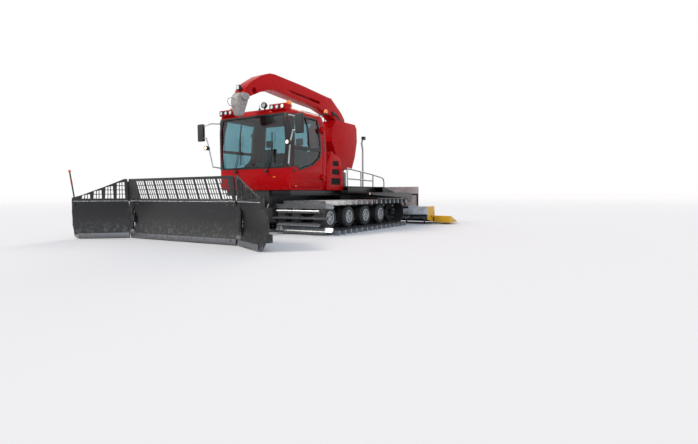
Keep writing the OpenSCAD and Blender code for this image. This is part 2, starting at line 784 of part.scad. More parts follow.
// Serrated edge at the foot of the blade
module cutting_edge(x0, x1) {
    n = floor((x1 - x0) / 80);
    p = (x1 - x0) / n;
    along_y(blade_y - 12, blade_y + 16) polygon(concat([[x0, 120]],
        [for (i = [0:n - 1]) each [[x0 + i * p, edge_z0 + 30], [x0 + i * p + 6, edge_z0],
            [x0 + (i + 1) * p - 14, edge_z0], [x0 + (i + 1) * p - 6, edge_z0 + 30]]],
        [[x1, edge_z0 + 30], [x1, 120]]));
}

wing_axis_y = blade_y + 60;
knuckle_r = 44;
wing_pin_r = 20;
wing_clear = 50;
wing_axis_x = blade_half_w + wing_clear;
// Knuckles on the hinge line of a wing, from low to high; every second one is the wing's
knuckles = [40, 190, 340, 490, 640, 790];

tilt_z = 400;
tilt_r = 70;
blade_back_y = blade_y + mould_sag + mould_t - 10 + beam_d;
head_front_y = blade_back_y + 60;

module blade_center() {
    color([0.06, 0.06, 0.07]) difference() {
        union() {
            along_x(-blade_half_w, blade_half_w) mould_outline();
            difference() {
                along_x(-blade_half_w, blade_half_w) mesh_outline();
                mesh_windows(-blade_half_w + 20, blade_half_w - 100, 9);
            }
            back_beams(-blade_half_w + 100, blade_half_w - 100);
            cutting_edge(-blade_half_w, blade_half_w);
            for (x = [-600, 0, 600])
                block([x - 10, blade_y + mould_sag + mould_t - 12, 150], [x + 10, blade_back_y, 690]);
            y_drum(0, blade_back_y - 150, blade_back_y + 50, tilt_z, 136);
            both() {
                for (i = [0:2:4]) {
                    translate([wing_axis_x, wing_axis_y, knuckles[i]])
                        cylinder(h = knuckles[i + 1] - knuckles[i] - 1, r = knuckle_r);
                    block([blade_half_w - 40, wing_axis_y - 15, knuckles[i]],
                        [wing_axis_x, wing_axis_y + 30, knuckles[i + 1] - 1]);
                }
                translate([wing_axis_x, wing_axis_y, knuckles[0]])
                    cylinder(h = knuckles[5] - knuckles[0], r = wing_pin_r);
                wing_cyl_ears();
            }
        }
        y_drum(0, blade_back_y - 90, blade_back_y + 51, tilt_z, tilt_r + 0.5);
    }
}

cyl_pin_r = 20;
pin_head_r = 30;
// Line of the marker pole's foot behind the wing
pole_y = blade_y + 45;
// Cylinder between the blade's middle and a wing: its pin on the middle section
wing_cyl_in = [820, blade_back_y + 70, 480];
// Its pin on the wing, from the wing's hinge: along the wing, behind it
wing_cyl_out = [35, 298];

module wing_cyl_ears() {
    difference() {
        for (z = [wing_cyl_in.z - 60, wing_cyl_in.z + 40])
            along_z(z, z + 20) ear_outline([wing_cyl_in.x, wing_cyl_in.y], 45,
                [wing_cyl_in.x - 70, blade_back_y - beam_d], [wing_cyl_in.x + 70, blade_back_y - beam_d]);
        translate([wing_cyl_in.x, wing_cyl_in.y, wing_cyl_in.z - 61]) cylinder(h = 122, r = cyl_pin_r + 0.4);
    }
}

// Outline of a wing from its hinge: along the wing, height
wing_pts = [[wing_clear, 0], [wing_len - 150, 0], [wing_len - 60, 60], [wing_len, 300], [wing_len, 560],
    [wing_len - 50, 870], [wing_len - 230, 920], [wing_len - 700, 1100], [wing_clear + 60, mesh_z],
    [wing_clear, mesh_z]];

// A wing in line with the middle section, with its hinge at the left end of that
module straight_wing() {
    translate([wing_axis_x, 0, 0]) difference() {
        union() {
            intersection() {
                union() {
                    along_x(0, wing_len) mould_outline();
                    along_x(0, wing_len) mesh_outline();
                    cutting_edge(wing_clear, wing_len - 150);
                }
                along_y(blade_y - 200, blade_y + 400) polygon(wing_pts);
            }
            back_beams(wing_clear + 100, wing_len - 160);
            for (i = [1:2:3]) {
                translate([0, wing_axis_y, knuckles[i]])
                    cylinder(h = knuckles[i + 1] - knuckles[i] - 1, r = knuckle_r);
                block([0, wing_axis_y - 15, knuckles[i]], [wing_clear + 40, wing_axis_y + 30, knuckles[i + 1] - 1]);
            }
            for (z = [wing_cyl_in.z - 60, wing_cyl_in.z + 40])
                along_z(z, z + 20) ear_outline([wing_cyl_out[0], wing_axis_y + wing_cyl_out[1]], 45,
                    [wing_clear + 10, blade_back_y - beam_d], [wing_clear + 150, blade_back_y - beam_d]);
            for (z = [wing_cyl_in.z - 72, wing_cyl_in.z + 58])
                translate([wing_cyl_out[0], wing_axis_y + wing_cyl_out[1], z]) cylinder(h = 14, r = pin_head_r);
            block([wing_len - 100, blade_y + 14, 700], [wing_len - 40, pole_y + 25, 870]);
        }
        translate([0, wing_axis_y, 0]) cylinder(h = 900, r = wing_pin_r + 0.4);
        along_y(blade_y - 100, blade_y + 100) for (i = [0:3]) {
            x0 = wing_clear + 60 + i * 230;
            polygon([[x0, mould_z + 50], [x0 + 170, mould_z + 50], [x0 + 150, 1170 - i * 85], [x0, 1195 - i * 85]]);
        }
    }
}

module wing(angle) {
    translate([wing_axis_x, wing_axis_y, 0]) rotate([0, 0, -angle])
        translate([-wing_axis_x, -wing_axis_y, 0]) straight_wing();
}

module wing_left() { color([0.06, 0.06, 0.07]) wing(wing_left_deg); }
module wing_right() { color([0.06, 0.06, 0.07]) mirror([1, 0, 0]) wing(wing_right_deg); }

pole_r = 14;

module marker_pole() {
    color([0.95, 0.4, 0.1]) mirror([1, 0, 0]) translate([wing_axis_x, wing_axis_y, 0])
        rotate([0, 0, -wing_right_deg])
        translate([wing_len - 70, pole_y - wing_axis_y, 0]) {
            translate([0, 0, 870 + seat_gap]) cylinder(h = 50, r = pole_r);
            rod([0, 0, 910], [70, 0, 1450], pole_r);
            translate([0, 0, 910]) knee(pole_r + knee_bulge);
        }
}

// Push frame and swing head

king_y = -2850;
king_r = 60;
push_z = 400;

module push_frame() {
    color([0.12, 0.12, 0.13]) difference() {
        union() {
            both() along_x(ear_x + ear_w + arm_gap, ear_x + ear_w + arm_gap + arm_w)
                arm_outline([front_ear_y, lift_pin_z], [king_y + 200, push_z], 80, 75);
            block([-ear_x - ear_w - arm_gap - arm_w, king_y + 120, push_z - 80],
                [ear_x + ear_w + arm_gap + arm_w, king_y + 280, push_z + 80]);
            translate([0, king_y, push_z - 110]) cylinder(h = 220, r = 120);
            block([-110, king_y, push_z - 80], [110, king_y + 200, push_z + 80]);
            both() for (x = [lift_top_x - 60, lift_top_x + 30]) along_x(x, x + 30)
                ear_outline([lift_foot.y, lift_foot.z], 50, [king_y + 140, push_z + 70], [king_y + 270, push_z + 70]);
            both() for (x = [lift_top_x - 70, lift_top_x + 58]) x_drum(x, x + 12, lift_foot.y, lift_foot.z, pin_head_r);
            both() x_drum(ear_x - 10, ear_x + 2 * ear_w + arm_w + 2 * arm_gap + 10, front_ear_y, lift_pin_z, lift_pin_r);
        }
        translate([0, king_y, push_z - 111]) cylinder(h = 222, r = king_r + 0.5);
    }
}

module swing_head() {
    color([0.15, 0.15, 0.16]) {
        translate([0, king_y, push_z - 150]) cylinder(h = 300, r = king_r);
        for (z = [push_z - 152, push_z + 112]) along_z(z, z + 40)
            ear_outline([0, king_y], 120, [-160, head_front_y + 40], [160, head_front_y + 40]);
        block([-200, head_front_y, tilt_z - 200], [200, head_front_y + 50, tilt_z + 200]);
        y_drum(0, blade_back_y - 85, head_front_y + 10, tilt_z, tilt_r);
    }
}

// Cylinders of the blade's lift
lift_top_x = 200;
lift_top = [lift_top_x, tub_y0 - 60, 780];
lift_foot = [lift_top_x, king_y + 220, 620];

// Where a rod starts inside its barrel, from pin p: blade lift, wings, tiller lift
lift_rod_in = 460;
wing_rod_in = 420;
rear_rod_in = 188;
rod_gap = 0.8;
// A barrel starts this far from its pin, past the ears that hold it
barrel_start = 56;

// Barrel of a cylinder that starts at pin p and points to pin q, for the share f of their distance
module barrel(p, q, f, r, rod_r, eye_w, side) {
    d = (q - p) / norm(q - p);
    difference() {
        rod(p + d * barrel_start, p + d * norm(q - p) * f, r);
        rod(p + d * (barrel_start + 10), p + d * (norm(q - p) * f + 1), rod_r + rod_gap);
    }
    rod(p + d * 30, p + d * (barrel_start + 5), 0.4 * eye_w);
    translate(p) rotate(side) {
        translate([0, 0, -eye_w / 2]) cylinder(h = eye_w, r = 48);
        translate([0, 0, -eye_w / 2 - 32]) cylinder(h = eye_w + 64, r = cyl_pin_r);
    }
}

// Its rod, from the distance a inside the barrel to the eye at q
module piston(p, q, a, r, eye_w, side) {
    d = (q - p) / norm(q - p);
    rod(p + d * a, q - d * 35, r);
    translate(q) rotate(side) translate([0, 0, -eye_w / 2]) cylinder(h = eye_w, r = 44);
}

module blade_lift_barrels() {
    color([0.2, 0.2, 0.21]) both() barrel(lift_top, lift_foot, 0.62, 50, 26, 56, [0, 90, 0]);
}

module blade_lift_rods() {
    color([0.8, 0.8, 0.82]) both() piston(lift_top, lift_foot, lift_rod_in, 26, 56, [0, 90, 0]);
}

module tiller_lift_barrels() {
    color([0.2, 0.2, 0.21]) both() barrel(rear_lift_top, rear_lift_foot, 0.55, 45, 25, 56, [0, 90, 0]);
}

module tiller_lift_rods() {
    color([0.8, 0.8, 0.82]) both() piston(rear_lift_top, rear_lift_foot, rear_rod_in, 25, 56, [0, 90, 0]);
}

function wing_pin(angle) = [wing_axis_x + wing_cyl_out[0] * cos(angle) + wing_cyl_out[1] * sin(angle),
    wing_axis_y - wing_cyl_out[0] * sin(angle) + wing_cyl_out[1] * cos(angle), wing_cyl_in.z];

module wing_barrel(angle) {
    barrel(wing_cyl_in, wing_pin(angle), 0.6, 42, 24, 76, [0, 0, 0]);
}

module wing_rod(angle) {
    piston(wing_cyl_in, wing_pin(angle), wing_rod_in, 24, 76, [0, 0, 0]);
}

module wing_barrel_left() { color([0.2, 0.2, 0.21]) wing_barrel(wing_left_deg); }
module wing_rod_left() { color([0.8, 0.8, 0.82]) wing_rod(wing_left_deg); }
module wing_barrel_right() { color([0.2, 0.2, 0.21]) mirror([1, 0, 0]) wing_barrel(wing_right_deg); }
module wing_rod_right() { color([0.8, 0.8, 0.82]) mirror([1, 0, 0]) wing_rod(wing_right_deg); }

// Tiller. A lift frame behind the chassis carries the rotor housing.

rear_lift_x = 180;
rear_lift_top = [rear_lift_x, tub_y1 + 60, 960];
rear_lift_foot = [rear_lift_x, tiller_y0 - 20, 790];

housing_top = 540;
beam_z1 = 700;

module tiller_frame() {
    color([0.12, 0.12, 0.13]) union() {
        both() along_x(ear_x + ear_w + arm_gap, ear_x + ear_w + arm_gap + arm_w)
            ear_outline([rear_ear_y, rear_ear_z], 70, [tiller_y0 - 40, 560], [tiller_y0 - 40, 690]);
        block([-ear_x - ear_w - arm_gap - arm_w, tiller_y0 - 60, housing_top + seat_gap],
            [ear_x + ear_w + arm_gap + arm_w, tiller_y0 + 180, beam_z1]);
        both() for (x = [rear_lift_x - 60, rear_lift_x + 30]) along_x(x, x + 30)
            ear_outline([rear_lift_foot.y, rear_lift_foot.z], 50, [tiller_y0 - 50, beam_z1 - 10],
                [tiller_y0 + 40, beam_z1 - 10]);
        both() for (x = [rear_lift_x - 70, rear_lift_x + 58])
            x_drum(x, x + 12, rear_lift_foot.y, rear_lift_foot.z, pin_head_r);
        both() x_drum(ear_x - 10, ear_x + 2 * ear_w + arm_w + 2 * arm_gap + 10, rear_ear_y, rear_ear_z, lift_pin_r);
    }
}

module housing_outline() {
    polygon([[tiller_y0, 520], [tiller_y0, 300], [tiller_y0 + 20, 300], [tiller_y0 + 20, 480],
        [rotor_y + 220, 480], [rotor_y + 280, 220], [rotor_y + 300, 220], [rotor_y + 300, 320],
        [rotor_y + 240, housing_top], [tiller_y0 + 70, housing_top]]);
}

end_t = 20;
journal_r = 40;
side_hinge_x = tiller_half_w + 50;
side_hinge_z = 240;
side_pin_r = 12;
// Stretch of a side finisher's knuckle along its hinge
side_y0 = rotor_y + 100;
side_y1 = rotor_y + 240;
// Upright guard on the housing
guard_y = rotor_y + 90;
guard_half_w = 2080;
guard_t = 20;

module tiller_housing() {
    color([0.12, 0.12, 0.13]) {
        along_x(-tiller_half_w, tiller_half_w) housing_outline();
        both() along_x(tiller_half_w, tiller_half_w + end_t)
            difference() {
                polygon([[tiller_y0, 520], [tiller_y0, 150], [rotor_y + 230, 60], [rotor_y + 300, 220],
                    [rotor_y + 300, 320], [rotor_y + 240, housing_top], [tiller_y0 + 70, housing_top]]);
                translate([rotor_y, rotor_z]) circle(r = journal_r + 0.5);
            }
        both() {
            for (y = [side_y0 - 32, side_y1 + 2])
                block([tiller_half_w + end_t - 1, y, side_hinge_z - 20], [side_hinge_x + 20, y + 30, side_hinge_z + 20]);
            y_drum(side_hinge_x, side_y0 - 20, side_y1 + 20, side_hinge_z, side_pin_r);
        }
        block([-guard_half_w, guard_y, housing_top - 1], [guard_half_w, guard_y + guard_t, 1140]);
    }
}

module tiller_rotor() {
    color([0.3, 0.3, 0.31]) {
        x_drum(-tiller_half_w + 10, tiller_half_w - 10, rotor_y, rotor_z, 90);
        both() x_drum(tiller_half_w - 20, tiller_half_w + end_t, rotor_y, rotor_z, journal_r);
        for (i = [0:39]) {
            a = i * 137;
            translate([-tiller_half_w + 60 + i * (2 * tiller_half_w - 120) / 39, rotor_y, rotor_z])
                rotate([a, 0, 0]) block([-25, -9, 60], [25, 9, rotor_r]);
        }
    }
}

comb_y0 = rotor_y + 300 + seat_gap;
comb_y1 = 4470;

module finisher_comb() {
    color([0.15, 0.15, 0.16]) for (i = [0:7]) {
        x0 = -tiller_half_w + i * tiller_half_w / 4 + 6;
        x1 = x0 + tiller_half_w / 4 - 12;
        along_x(x0, x1) polygon([[comb_y0, 180], [comb_y0, 320], [comb_y0 + 15, 320], [comb_y0 + 60, 220],
            [comb_y1 - 100, 70], [comb_y1, 60], [comb_y1, 40], [comb_y1 - 150, 30]]);
    }
}

module side_finisher() {
    difference() {
        union() {
            y_drum(side_hinge_x, side_y0, side_y1, side_hinge_z, 24);
            along_x(side_hinge_x + 32, side_hinge_x + finisher_w) polygon([[side_y0, 60], [side_y0, 255],
                [side_y1, 255], [4300, 70], [4300, 40], [side_y0 + 150, 40]]);
            block([side_hinge_x + 10, side_y0, side_hinge_z - 15], [side_hinge_x + 33, side_y1, side_hinge_z + 15]);
        }
        y_drum(side_hinge_x, side_y0 - 1, side_y1 + 1, side_hinge_z, side_pin_r + 0.4);
    }
}

module side_finisher_left() { color([0.9, 0.7, 0.1]) side_finisher(); }
module side_finisher_right() { color([0.9, 0.7, 0.1]) mirror([1, 0, 0]) side_finisher(); }

chassis();
engine_block();
rear_body();
deck();
handrails();
track_left();
track_right();
tyres();
rims();
running_gear();
cab_shell();
cab_glass();
seats();
dashboard();
wipers();
mirrors();
lamps();
door_left();
door_right();
door_glass_left();
door_glass_right();
winch_base();
winch_housing();
winch_boom();
sheave_head();
push_frame();
swing_head();
blade_center();
wing_left();
wing_right();
marker_pole();
blade_lift_barrels();
blade_lift_rods();
wing_barrel_left();
wing_rod_left();
wing_barrel_right();
wing_rod_right();
tiller_frame();
tiller_housing();
tiller_rotor();
finisher_comb();
side_finisher_left();
side_finisher_right();
tiller_lift_barrels();
tiller_lift_rods();
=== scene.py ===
"""Snow groomer: its finishes, its fittings and the studio round it."""

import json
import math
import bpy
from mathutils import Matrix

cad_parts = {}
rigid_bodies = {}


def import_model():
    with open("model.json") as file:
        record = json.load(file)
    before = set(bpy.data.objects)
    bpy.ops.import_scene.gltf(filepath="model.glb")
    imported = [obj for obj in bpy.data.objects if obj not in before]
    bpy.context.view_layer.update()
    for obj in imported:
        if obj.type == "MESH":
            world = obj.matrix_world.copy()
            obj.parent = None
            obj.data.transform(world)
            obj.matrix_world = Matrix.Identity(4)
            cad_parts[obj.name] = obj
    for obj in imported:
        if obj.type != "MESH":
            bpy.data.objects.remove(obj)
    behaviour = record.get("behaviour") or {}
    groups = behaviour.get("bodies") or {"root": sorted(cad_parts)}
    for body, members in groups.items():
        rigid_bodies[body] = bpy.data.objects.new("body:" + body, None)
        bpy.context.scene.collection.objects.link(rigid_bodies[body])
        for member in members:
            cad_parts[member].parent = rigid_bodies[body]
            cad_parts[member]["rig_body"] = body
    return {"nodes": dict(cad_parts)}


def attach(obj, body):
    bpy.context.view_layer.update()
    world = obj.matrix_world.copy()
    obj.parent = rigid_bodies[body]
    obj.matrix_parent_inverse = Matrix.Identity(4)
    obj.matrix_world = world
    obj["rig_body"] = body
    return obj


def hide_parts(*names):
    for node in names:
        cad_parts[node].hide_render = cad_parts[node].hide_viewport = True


bl_info = {
    "name": "Snow Groomer",
    "version": (1, 0, 0),
    "blender": (4, 5, 0),
    "location": "View3D > Sidebar > Groomer",
    "description": "Finishes, fittings and studio of a snow groomer",
    "category": "Object",
}

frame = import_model()

import bmesh
import bpy
from bpy.props import FloatProperty, FloatVectorProperty, PointerProperty
from mathutils import Matrix, Vector


# Helpers


def linear(code):
    """Turns an sRGB hex colour to linear RGBA."""
    parts = [int(code[i : i + 2], 16) / 255 for i in (1, 3, 5)]
    return tuple(c / 12.92 if c <= 0.04045 else ((c + 0.055) / 1.055) ** 2.4 for c in parts) + (1.0,)


def add(tree, kind, values=(), feeds=(), **settings):
    """Adds one node, with its settings, its socket values and what feeds its sockets."""
    made = tree.nodes.new(kind)
    for key, value in settings.items():
        setattr(made, key, value)
    for key, value in dict(values).items():
        made.inputs[key].default_value = value
    for key, source in dict(feeds).items():
        tree.links.new(source, made.inputs[key])
    return made


def new_finish(name, **shader_values):
    """A new material with a plain shader: its tree, the shader and the object's coordinates."""
    finish = bpy.data.materials.new(name)
    finish.use_nodes = True
    tree = finish.node_tree
    shader = tree.nodes["Principled BSDF"]
    for key, value in shader_values.items():
        shader.inputs[key.replace("_", " ")].default_value = value
    place = add(tree, "ShaderNodeTexCoord").outputs["Object"]
    return finish, tree, shader, place


def speckle(tree, place, scale, detail, low, high, stretch=(1, 1, 1)):
    """Noise at a real scale, cut between low and high."""
    mapped = add(tree, "ShaderNodeMapping", {"Scale": stretch}, {"Vector": place})
    noise = add(tree, "ShaderNodeTexNoise", {"Scale": scale, "Detail": detail, "Roughness": 0.6},
                {"Vector": mapped.outputs["Vector"]})
    cut = add(tree, "ShaderNodeMapRange", {"From Min": low, "From Max": high}, {"Value": noise.outputs["Fac"]})
    return cut.outputs["Result"]


def blend_colours(tree, factor, first, second):
    """Two colours by a factor. A colour is a hex code or a socket."""
    mix = add(tree, "ShaderNodeMix", data_type="RGBA")
    tree.links.new(factor, mix.inputs[0])
    for socket, colour in ((mix.inputs[6], first), (mix.inputs[7], second)):
        if isinstance(colour, str):
            socket.default_value = linear(colour)
        else:
            tree.links.new(colour, socket)
    return mix.outputs[2]


def colour_from(tree, shader, factor, first, second):
    """Gives the shader two colours by a factor."""
    tree.links.new(blend_colours(tree, factor, first, second), shader.inputs["Base Color"])


def height_mask(tree, place, low, high):
    """1 at the height low, falling to 0 at the height high."""
    split = add(tree, "ShaderNodeSeparateXYZ", feeds={"Vector": place})
    span = add(tree, "ShaderNodeMapRange",
               {"From Min": low, "From Max": high, "To Min": 1.0, "To Max": 0.0}, {"Value": split.outputs["Z"]})
    return span.outputs["Result"]


def combined(tree, first, second, operation="MULTIPLY"):
    """Two factors multiplied, or joined by another operation."""
    return add(tree, "ShaderNodeMath", feeds={0: first, 1: second}, operation=operation).outputs["Value"]


def bumped(tree, shader, height, depth, strength=0.5):
    """Gives the shader a bump of a real depth in metres."""
    bump = add(tree, "ShaderNodeBump", {"Strength": strength, "Distance": depth}, {"Height": height})
    tree.links.new(bump.outputs["Normal"], shader.inputs["Normal"])


def roughness_from(tree, shader, factor, low, high):
    """Lets the roughness run from low to high with a factor."""
    span = add(tree, "ShaderNodeMapRange", {"To Min": low, "To Max": high}, {"Value": factor})
    tree.links.new(span.outputs["Result"], shader.inputs["Roughness"])


FINISHES = {}


def finish(name):
    """A finish by its name, made when it is first asked for."""
    if name not in FINISHES:
        FINISHES[name] = RECIPES[name](name)
    return FINISHES[name]


# Finishes


def weathered(name, colours, grain, rough, bump=None, relief=None, **shader_values):
    """A finish whose colour and roughness follow one noise, and its bump that or a finer one, the relief."""
    made, tree, shader, place = new_finish(name, **shader_values)
    factor = speckle(tree, place, *grain)
    colour_from(tree, shader, factor, *colours)
    roughness_from(tree, shader, factor, *rough)
    if bump:
        bumped(tree, shader, speckle(tree, place, *relief) if relief else factor, *bump)
    return made


def red_enamel(name):
    """Two-pack enamel on glass-fibre panels: deep and even, with a little dried spray low down."""
    made, tree, shader, place = new_finish(name, Coat_Weight=0.04, Coat_Roughness=0.05,
                                           Specular_IOR_Level=0.09)
    body = add(tree, "ShaderNodeRGB")
    body.outputs[0].default_value = bpy.context.scene.groomer_paint.body
    base = blend_colours(tree, speckle(tree, place, 0.9, 2, 0.3, 0.7), body.outputs[0], "#c20a12")
    spray = combined(tree, speckle(tree, place, 22, 6, 0.60, 0.80), height_mask(tree, place, 1.0, 1.5))
    colour_from(tree, shader, spray, base, "#c78d88")
    roughness_from(tree, shader, speckle(tree, place, 6, 3, 0.35, 0.8), 0.26, 0.4)
    bumped(tree, shader, speckle(tree, place, 240, 2, 0.2, 0.8), 0.0003, 0.2)
    return made


def black_enamel(name, base="#17181a", worn="#3a3c40", dust="#77797c", top=0.9, rough=(0.34, 0.58)):
    """Satin enamel on steel: rubbed streaks along the machine and grey grime low down."""
    made, tree, shader, place = new_finish(name, Coat_Weight=0.1, Coat_Roughness=0.3)
    rub = speckle(tree, place, 6, 6, 0.55, 0.78, (0.7, 5, 7))
    grime = combined(tree, speckle(tree, place, 14, 7, 0.48, 0.75), height_mask(tree, place, 0.05, top))
    colour_from(tree, shader, grime, blend_colours(tree, rub, base, worn), dust)
    roughness_from(tree, shader, rub, *rough)
    bumped(tree, shader, speckle(tree, place, 120, 3, 0.2, 0.8), 0.0006, 0.3)
    return made


def blade_enamel(name):
    """Satin black enamel on a steel mouldboard that snow has polished in level streaks."""
    return black_enamel(name, "#141517", "#2d2f33", "#6b6e72", 0.45, (0.30, 0.52))


def worn_alloy(name):
    """Extruded aluminium bars, ground bright by ice, with rime in the corners."""
    made, tree, shader, place = new_finish(name, Metallic=1.0)
    scratch = speckle(tree, place, 16, 5, 0.35, 0.75, (0.6, 9, 9))
    rime = speckle(tree, place, 22, 6, 0.58, 0.72)
    colour_from(tree, shader, rime, blend_colours(tree, scratch, "#858a90", "#bfc3c8"), "#dfe4ea")
    roughness_from(tree, shader, scratch, 0.30, 0.52)
    bumped(tree, shader, scratch, 0.001, 0.4)
    return made


def zinc_coat(name):
    """Hot-dip zinc on steel tube: pale grey with a faint spangle of about 15 mm."""
    made, tree, shader, place = new_finish(name, Metallic=0.85)
    flakes = add(tree, "ShaderNodeTexVoronoi", {"Scale": 65.0}, {"Vector": place}).outputs["Distance"]
    colour_from(tree, shader, flakes, "#9ba0a5", "#c4c8cc")
    roughness_from(tree, shader, flakes, 0.30, 0.48)
    return made


def belt_rubber(name, base="#17181a", worn="#2b2c2f", grain=160):
    """Black rubber, dull, with a fine grain and grey dust."""
    return weathered(name, (base, worn), (12, 6, 0.45, 0.8), (0.65, 0.88),
                     (0.001, 0.4), (grain, 2, 0.3, 0.7), IOR=1.5)


def seal_rubber(name):
    """Smooth EPDM round a pane: near black, with a weak sheen."""
    return belt_rubber(name, "#101113", "#1c1d1f", 400)


def bare_steel(name):
    """Ground steel that has gone grey, with brown bloom here and there."""
    return weathered(name, ("#7b7e82", "#5d4a3b"), (11, 6, 0.55, 0.8), (0.36, 0.7), Metallic=0.9)


def hard_chrome(name):
    """Hard chrome on a piston rod: mirror-like, with a film of oil."""
    return weathered(name, ("#c9cccf", "#dcdfe2"), (18, 3, 0.3, 0.7), (0.08, 0.2), Metallic=1.0)


def frosted_steel(name):
    """The blade's bare top ledge, where hoar has frozen on ground steel."""
    return weathered(name, ("#7d8186", "#e4e8ee"), (35, 7, 0.40, 0.62), (0.4, 0.85), (0.003, 0.5), Metallic=0.5)


def frosted_grey(name):
    """Grey enamel on the tiller's hood under a crust of frozen snow dust."""
    return weathered(name, ("#8d9196", "#dfe2e7"), (5, 7, 0.36, 0.62, (0.6, 1, 1)), (0.5, 0.85),
                     (0.003, 0.5), (60, 5, 0.3, 0.7))


def guard_sheet(name):
    """Powder-coated sheet guard, warm pale grey, dulled by dust."""
    return weathered(name, ("#b4a5a1", "#cbbfbb"), (4, 6, 0.38, 0.7, (1, 1, 2)), (0.45, 0.7),
                     (0.0003, 0.3), (200, 2, 0.2, 0.8), IOR=1.5)


def cast_grey(name):
    """Worn grey enamel on a casting, patched where it has rubbed, with a sandy skin."""
    return weathered(name, ("#aaa7a4", "#8b8783"), (9, 5, 0.42, 0.75, (1, 1, 1.6)), (0.5, 0.75),
                     (0.001, 0.3), (90, 4, 0.2, 0.8), Metallic=0.1)


def moulded_yellow(name, base="#d9a81a", worn="#b98708"):
    """Yellow polyethylene flap, scuffed and dusty."""
    return weathered(name, (base, worn), (18, 6, 0.45, 0.8, (1, 3, 3)), (0.38, 0.62), (0.001, 0.3),
                     IOR=1.5, Subsurface_Weight=0.05)


def signal_orange(name):
    """Fluorescent orange cap of the marker rod."""
    return moulded_yellow(name, "#e8551c", "#c94412")


def signal_red(name):
    """Red reflective sleeve on the marker rod."""
    return moulded_yellow(name, "#a3111a", "#7f0d14")


def moulded_black(name):
    """Moulded black ABS with a leather grain of about 1.5 mm."""
    made, tree, shader, place = new_finish(name, IOR=1.5)
    grain = add(tree, "ShaderNodeTexVoronoi", {"Scale": 600.0}, {"Vector": place})
    tone = speckle(tree, place, 5, 3, 0.3, 0.7)
    colour_from(tree, shader, tone, "#151618", "#222326")
    roughness_from(tree, shader, tone, 0.42, 0.6)
    bumped(tree, shader, grain.outputs["Distance"], 0.0004, 0.3)
    return made


def tinted_glass(name):
    """Blue-green solar glass of 10 mm, clean, with a slight ripple."""
    made, tree, shader, place = new_finish(name, Roughness=0.0, IOR=1.45, Transmission_Weight=1.0)
    colour_from(tree, shader, speckle(tree, place, 1.5, 2, 0.3, 0.7), "#8fb5bd", "#9cbfc6")
    bumped(tree, shader, speckle(tree, place, 3, 2, 0.2, 0.8), 0.002, 0.05)
    return made


def mirror_glass(name):
    """Silvered mirror glass."""
    made, tree, shader, place = new_finish(name, Metallic=1.0, Roughness=0.03)
    colour_from(tree, shader, speckle(tree, place, 3, 2, 0.3, 0.7), "#cdd3d8", "#dde2e6")
    return made


def ribbed(tree, place, scale, direction="X"):
    """Fine ribs, as waves along one direction of the object."""
    wave = add(tree, "ShaderNodeTexWave", {"Scale": scale}, {"Vector": place}, bands_direction=direction)
    return wave.outputs["Fac"]


def lit_lens(name, glow="#ffe6b8", strength=0.7, base="#f2e9d6"):
    """A moulded clear lens over a lit lamp, with the ribs of its optics."""
    made, tree, shader, place = new_finish(name, Roughness=0.12, Coat_Weight=0.8, Emission_Strength=strength)
    ribs = ribbed(tree, place, 30.0)
    colour_from(tree, shader, ribs, base, "#ffffff")
    shader.inputs["Emission Color"].default_value = linear(glow)
    bumped(tree, shader, ribs, 0.001, 0.4)
    return made


def clear_lens(name):
    """The same lens unlit: grey with the reflector behind it, and a faint painted glow from white emission."""
    return lit_lens(name, "#ffffff", 0.05, "#b9bcc0")


def amber_dome(name):
    """Amber polycarbonate over a flash tube, ribbed upright."""
    made, tree, shader, place = new_finish(name, Roughness=0.15, Coat_Weight=0.7, Emission_Strength=0.25)
    colour_from(tree, shader, ribbed(tree, place, 45.0, "DIAGONAL"), "#c75a06", "#f09018")
    shader.inputs["Emission Color"].default_value = linear("#ff8a10")
    return made


def seat_cloth(name):
    """Woven polyester of a suspension seat, dark, with a 6 mm rib drawn coarse enough to show."""
    made, tree, shader, place = new_finish(name, Roughness=0.9, Sheen_Weight=0.4)
    rib = ribbed(tree, place, 26.0)
    colour_from(tree, shader, rib, "#202227", "#31343a")
    bumped(tree, shader, rib, 0.002, 0.5)
    return made


RECIPES = {make.__name__: make for make in (
    red_enamel, black_enamel, blade_enamel, worn_alloy, zinc_coat, belt_rubber, seal_rubber, bare_steel,
    hard_chrome, frosted_steel, frosted_grey, guard_sheet, cast_grey, moulded_yellow, signal_orange,
    signal_red, moulded_black, tinted_glass, mirror_glass, lit_lens, clear_lens, amber_dome, seat_cloth,
)}


# Meshes


BLOCK_FACES = [(3, 2, 1, 0), (4, 5, 6, 7), (0, 1, 5, 4), (1, 2, 6, 5), (2, 3, 7, 6), (3, 0, 4, 7)]


def placed(name, mesh):
    """A new object in the scene, at the origin."""
    made = bpy.data.objects.new(name, mesh)
    bpy.context.scene.collection.objects.link(made)
    return made


def evaluated(made):
    """The mesh that an object's modifiers make of it. The modifiers are taken off."""
    mesh = bpy.data.meshes.new_from_object(made.evaluated_get(bpy.context.evaluated_depsgraph_get()))
    made.modifiers.clear()
    return mesh


def sideways(u, v, w):
    """A place on the machine's side: an outline of y and z, at w across."""
    return (w, u, v)


def facing(x, y, z):
    """Draws an outline of x and z round a place, square to the machine's length."""
    return lambda u, v, w: (x + u, y + w, z + v)


def at(x, *places):
    """Places of y and z, all at one x."""
    return [(x, y, z) for y, z in places]


def rectangle(u0, v0, u1, v1):
    """A rectangle from its lowest to its highest corner."""
    return [(u0, v0), (u1, v0), (u1, v1), (u0, v1)]


def rounded(u0, v0, u1, v1, radius):
    """A rectangle with rounded corners."""
    points = []
    for cu, cv, start in ((u1 - radius, v1 - radius, 0), (u0 + radius, v1 - radius, 90),
                          (u0 + radius, v0 + radius, 180), (u1 - radius, v0 + radius, 270)):
        for k in range(6):
            a = math.radians(start + 18 * k)
            points.append((cu + radius * math.cos(a), cv + radius * math.sin(a)))
    return points


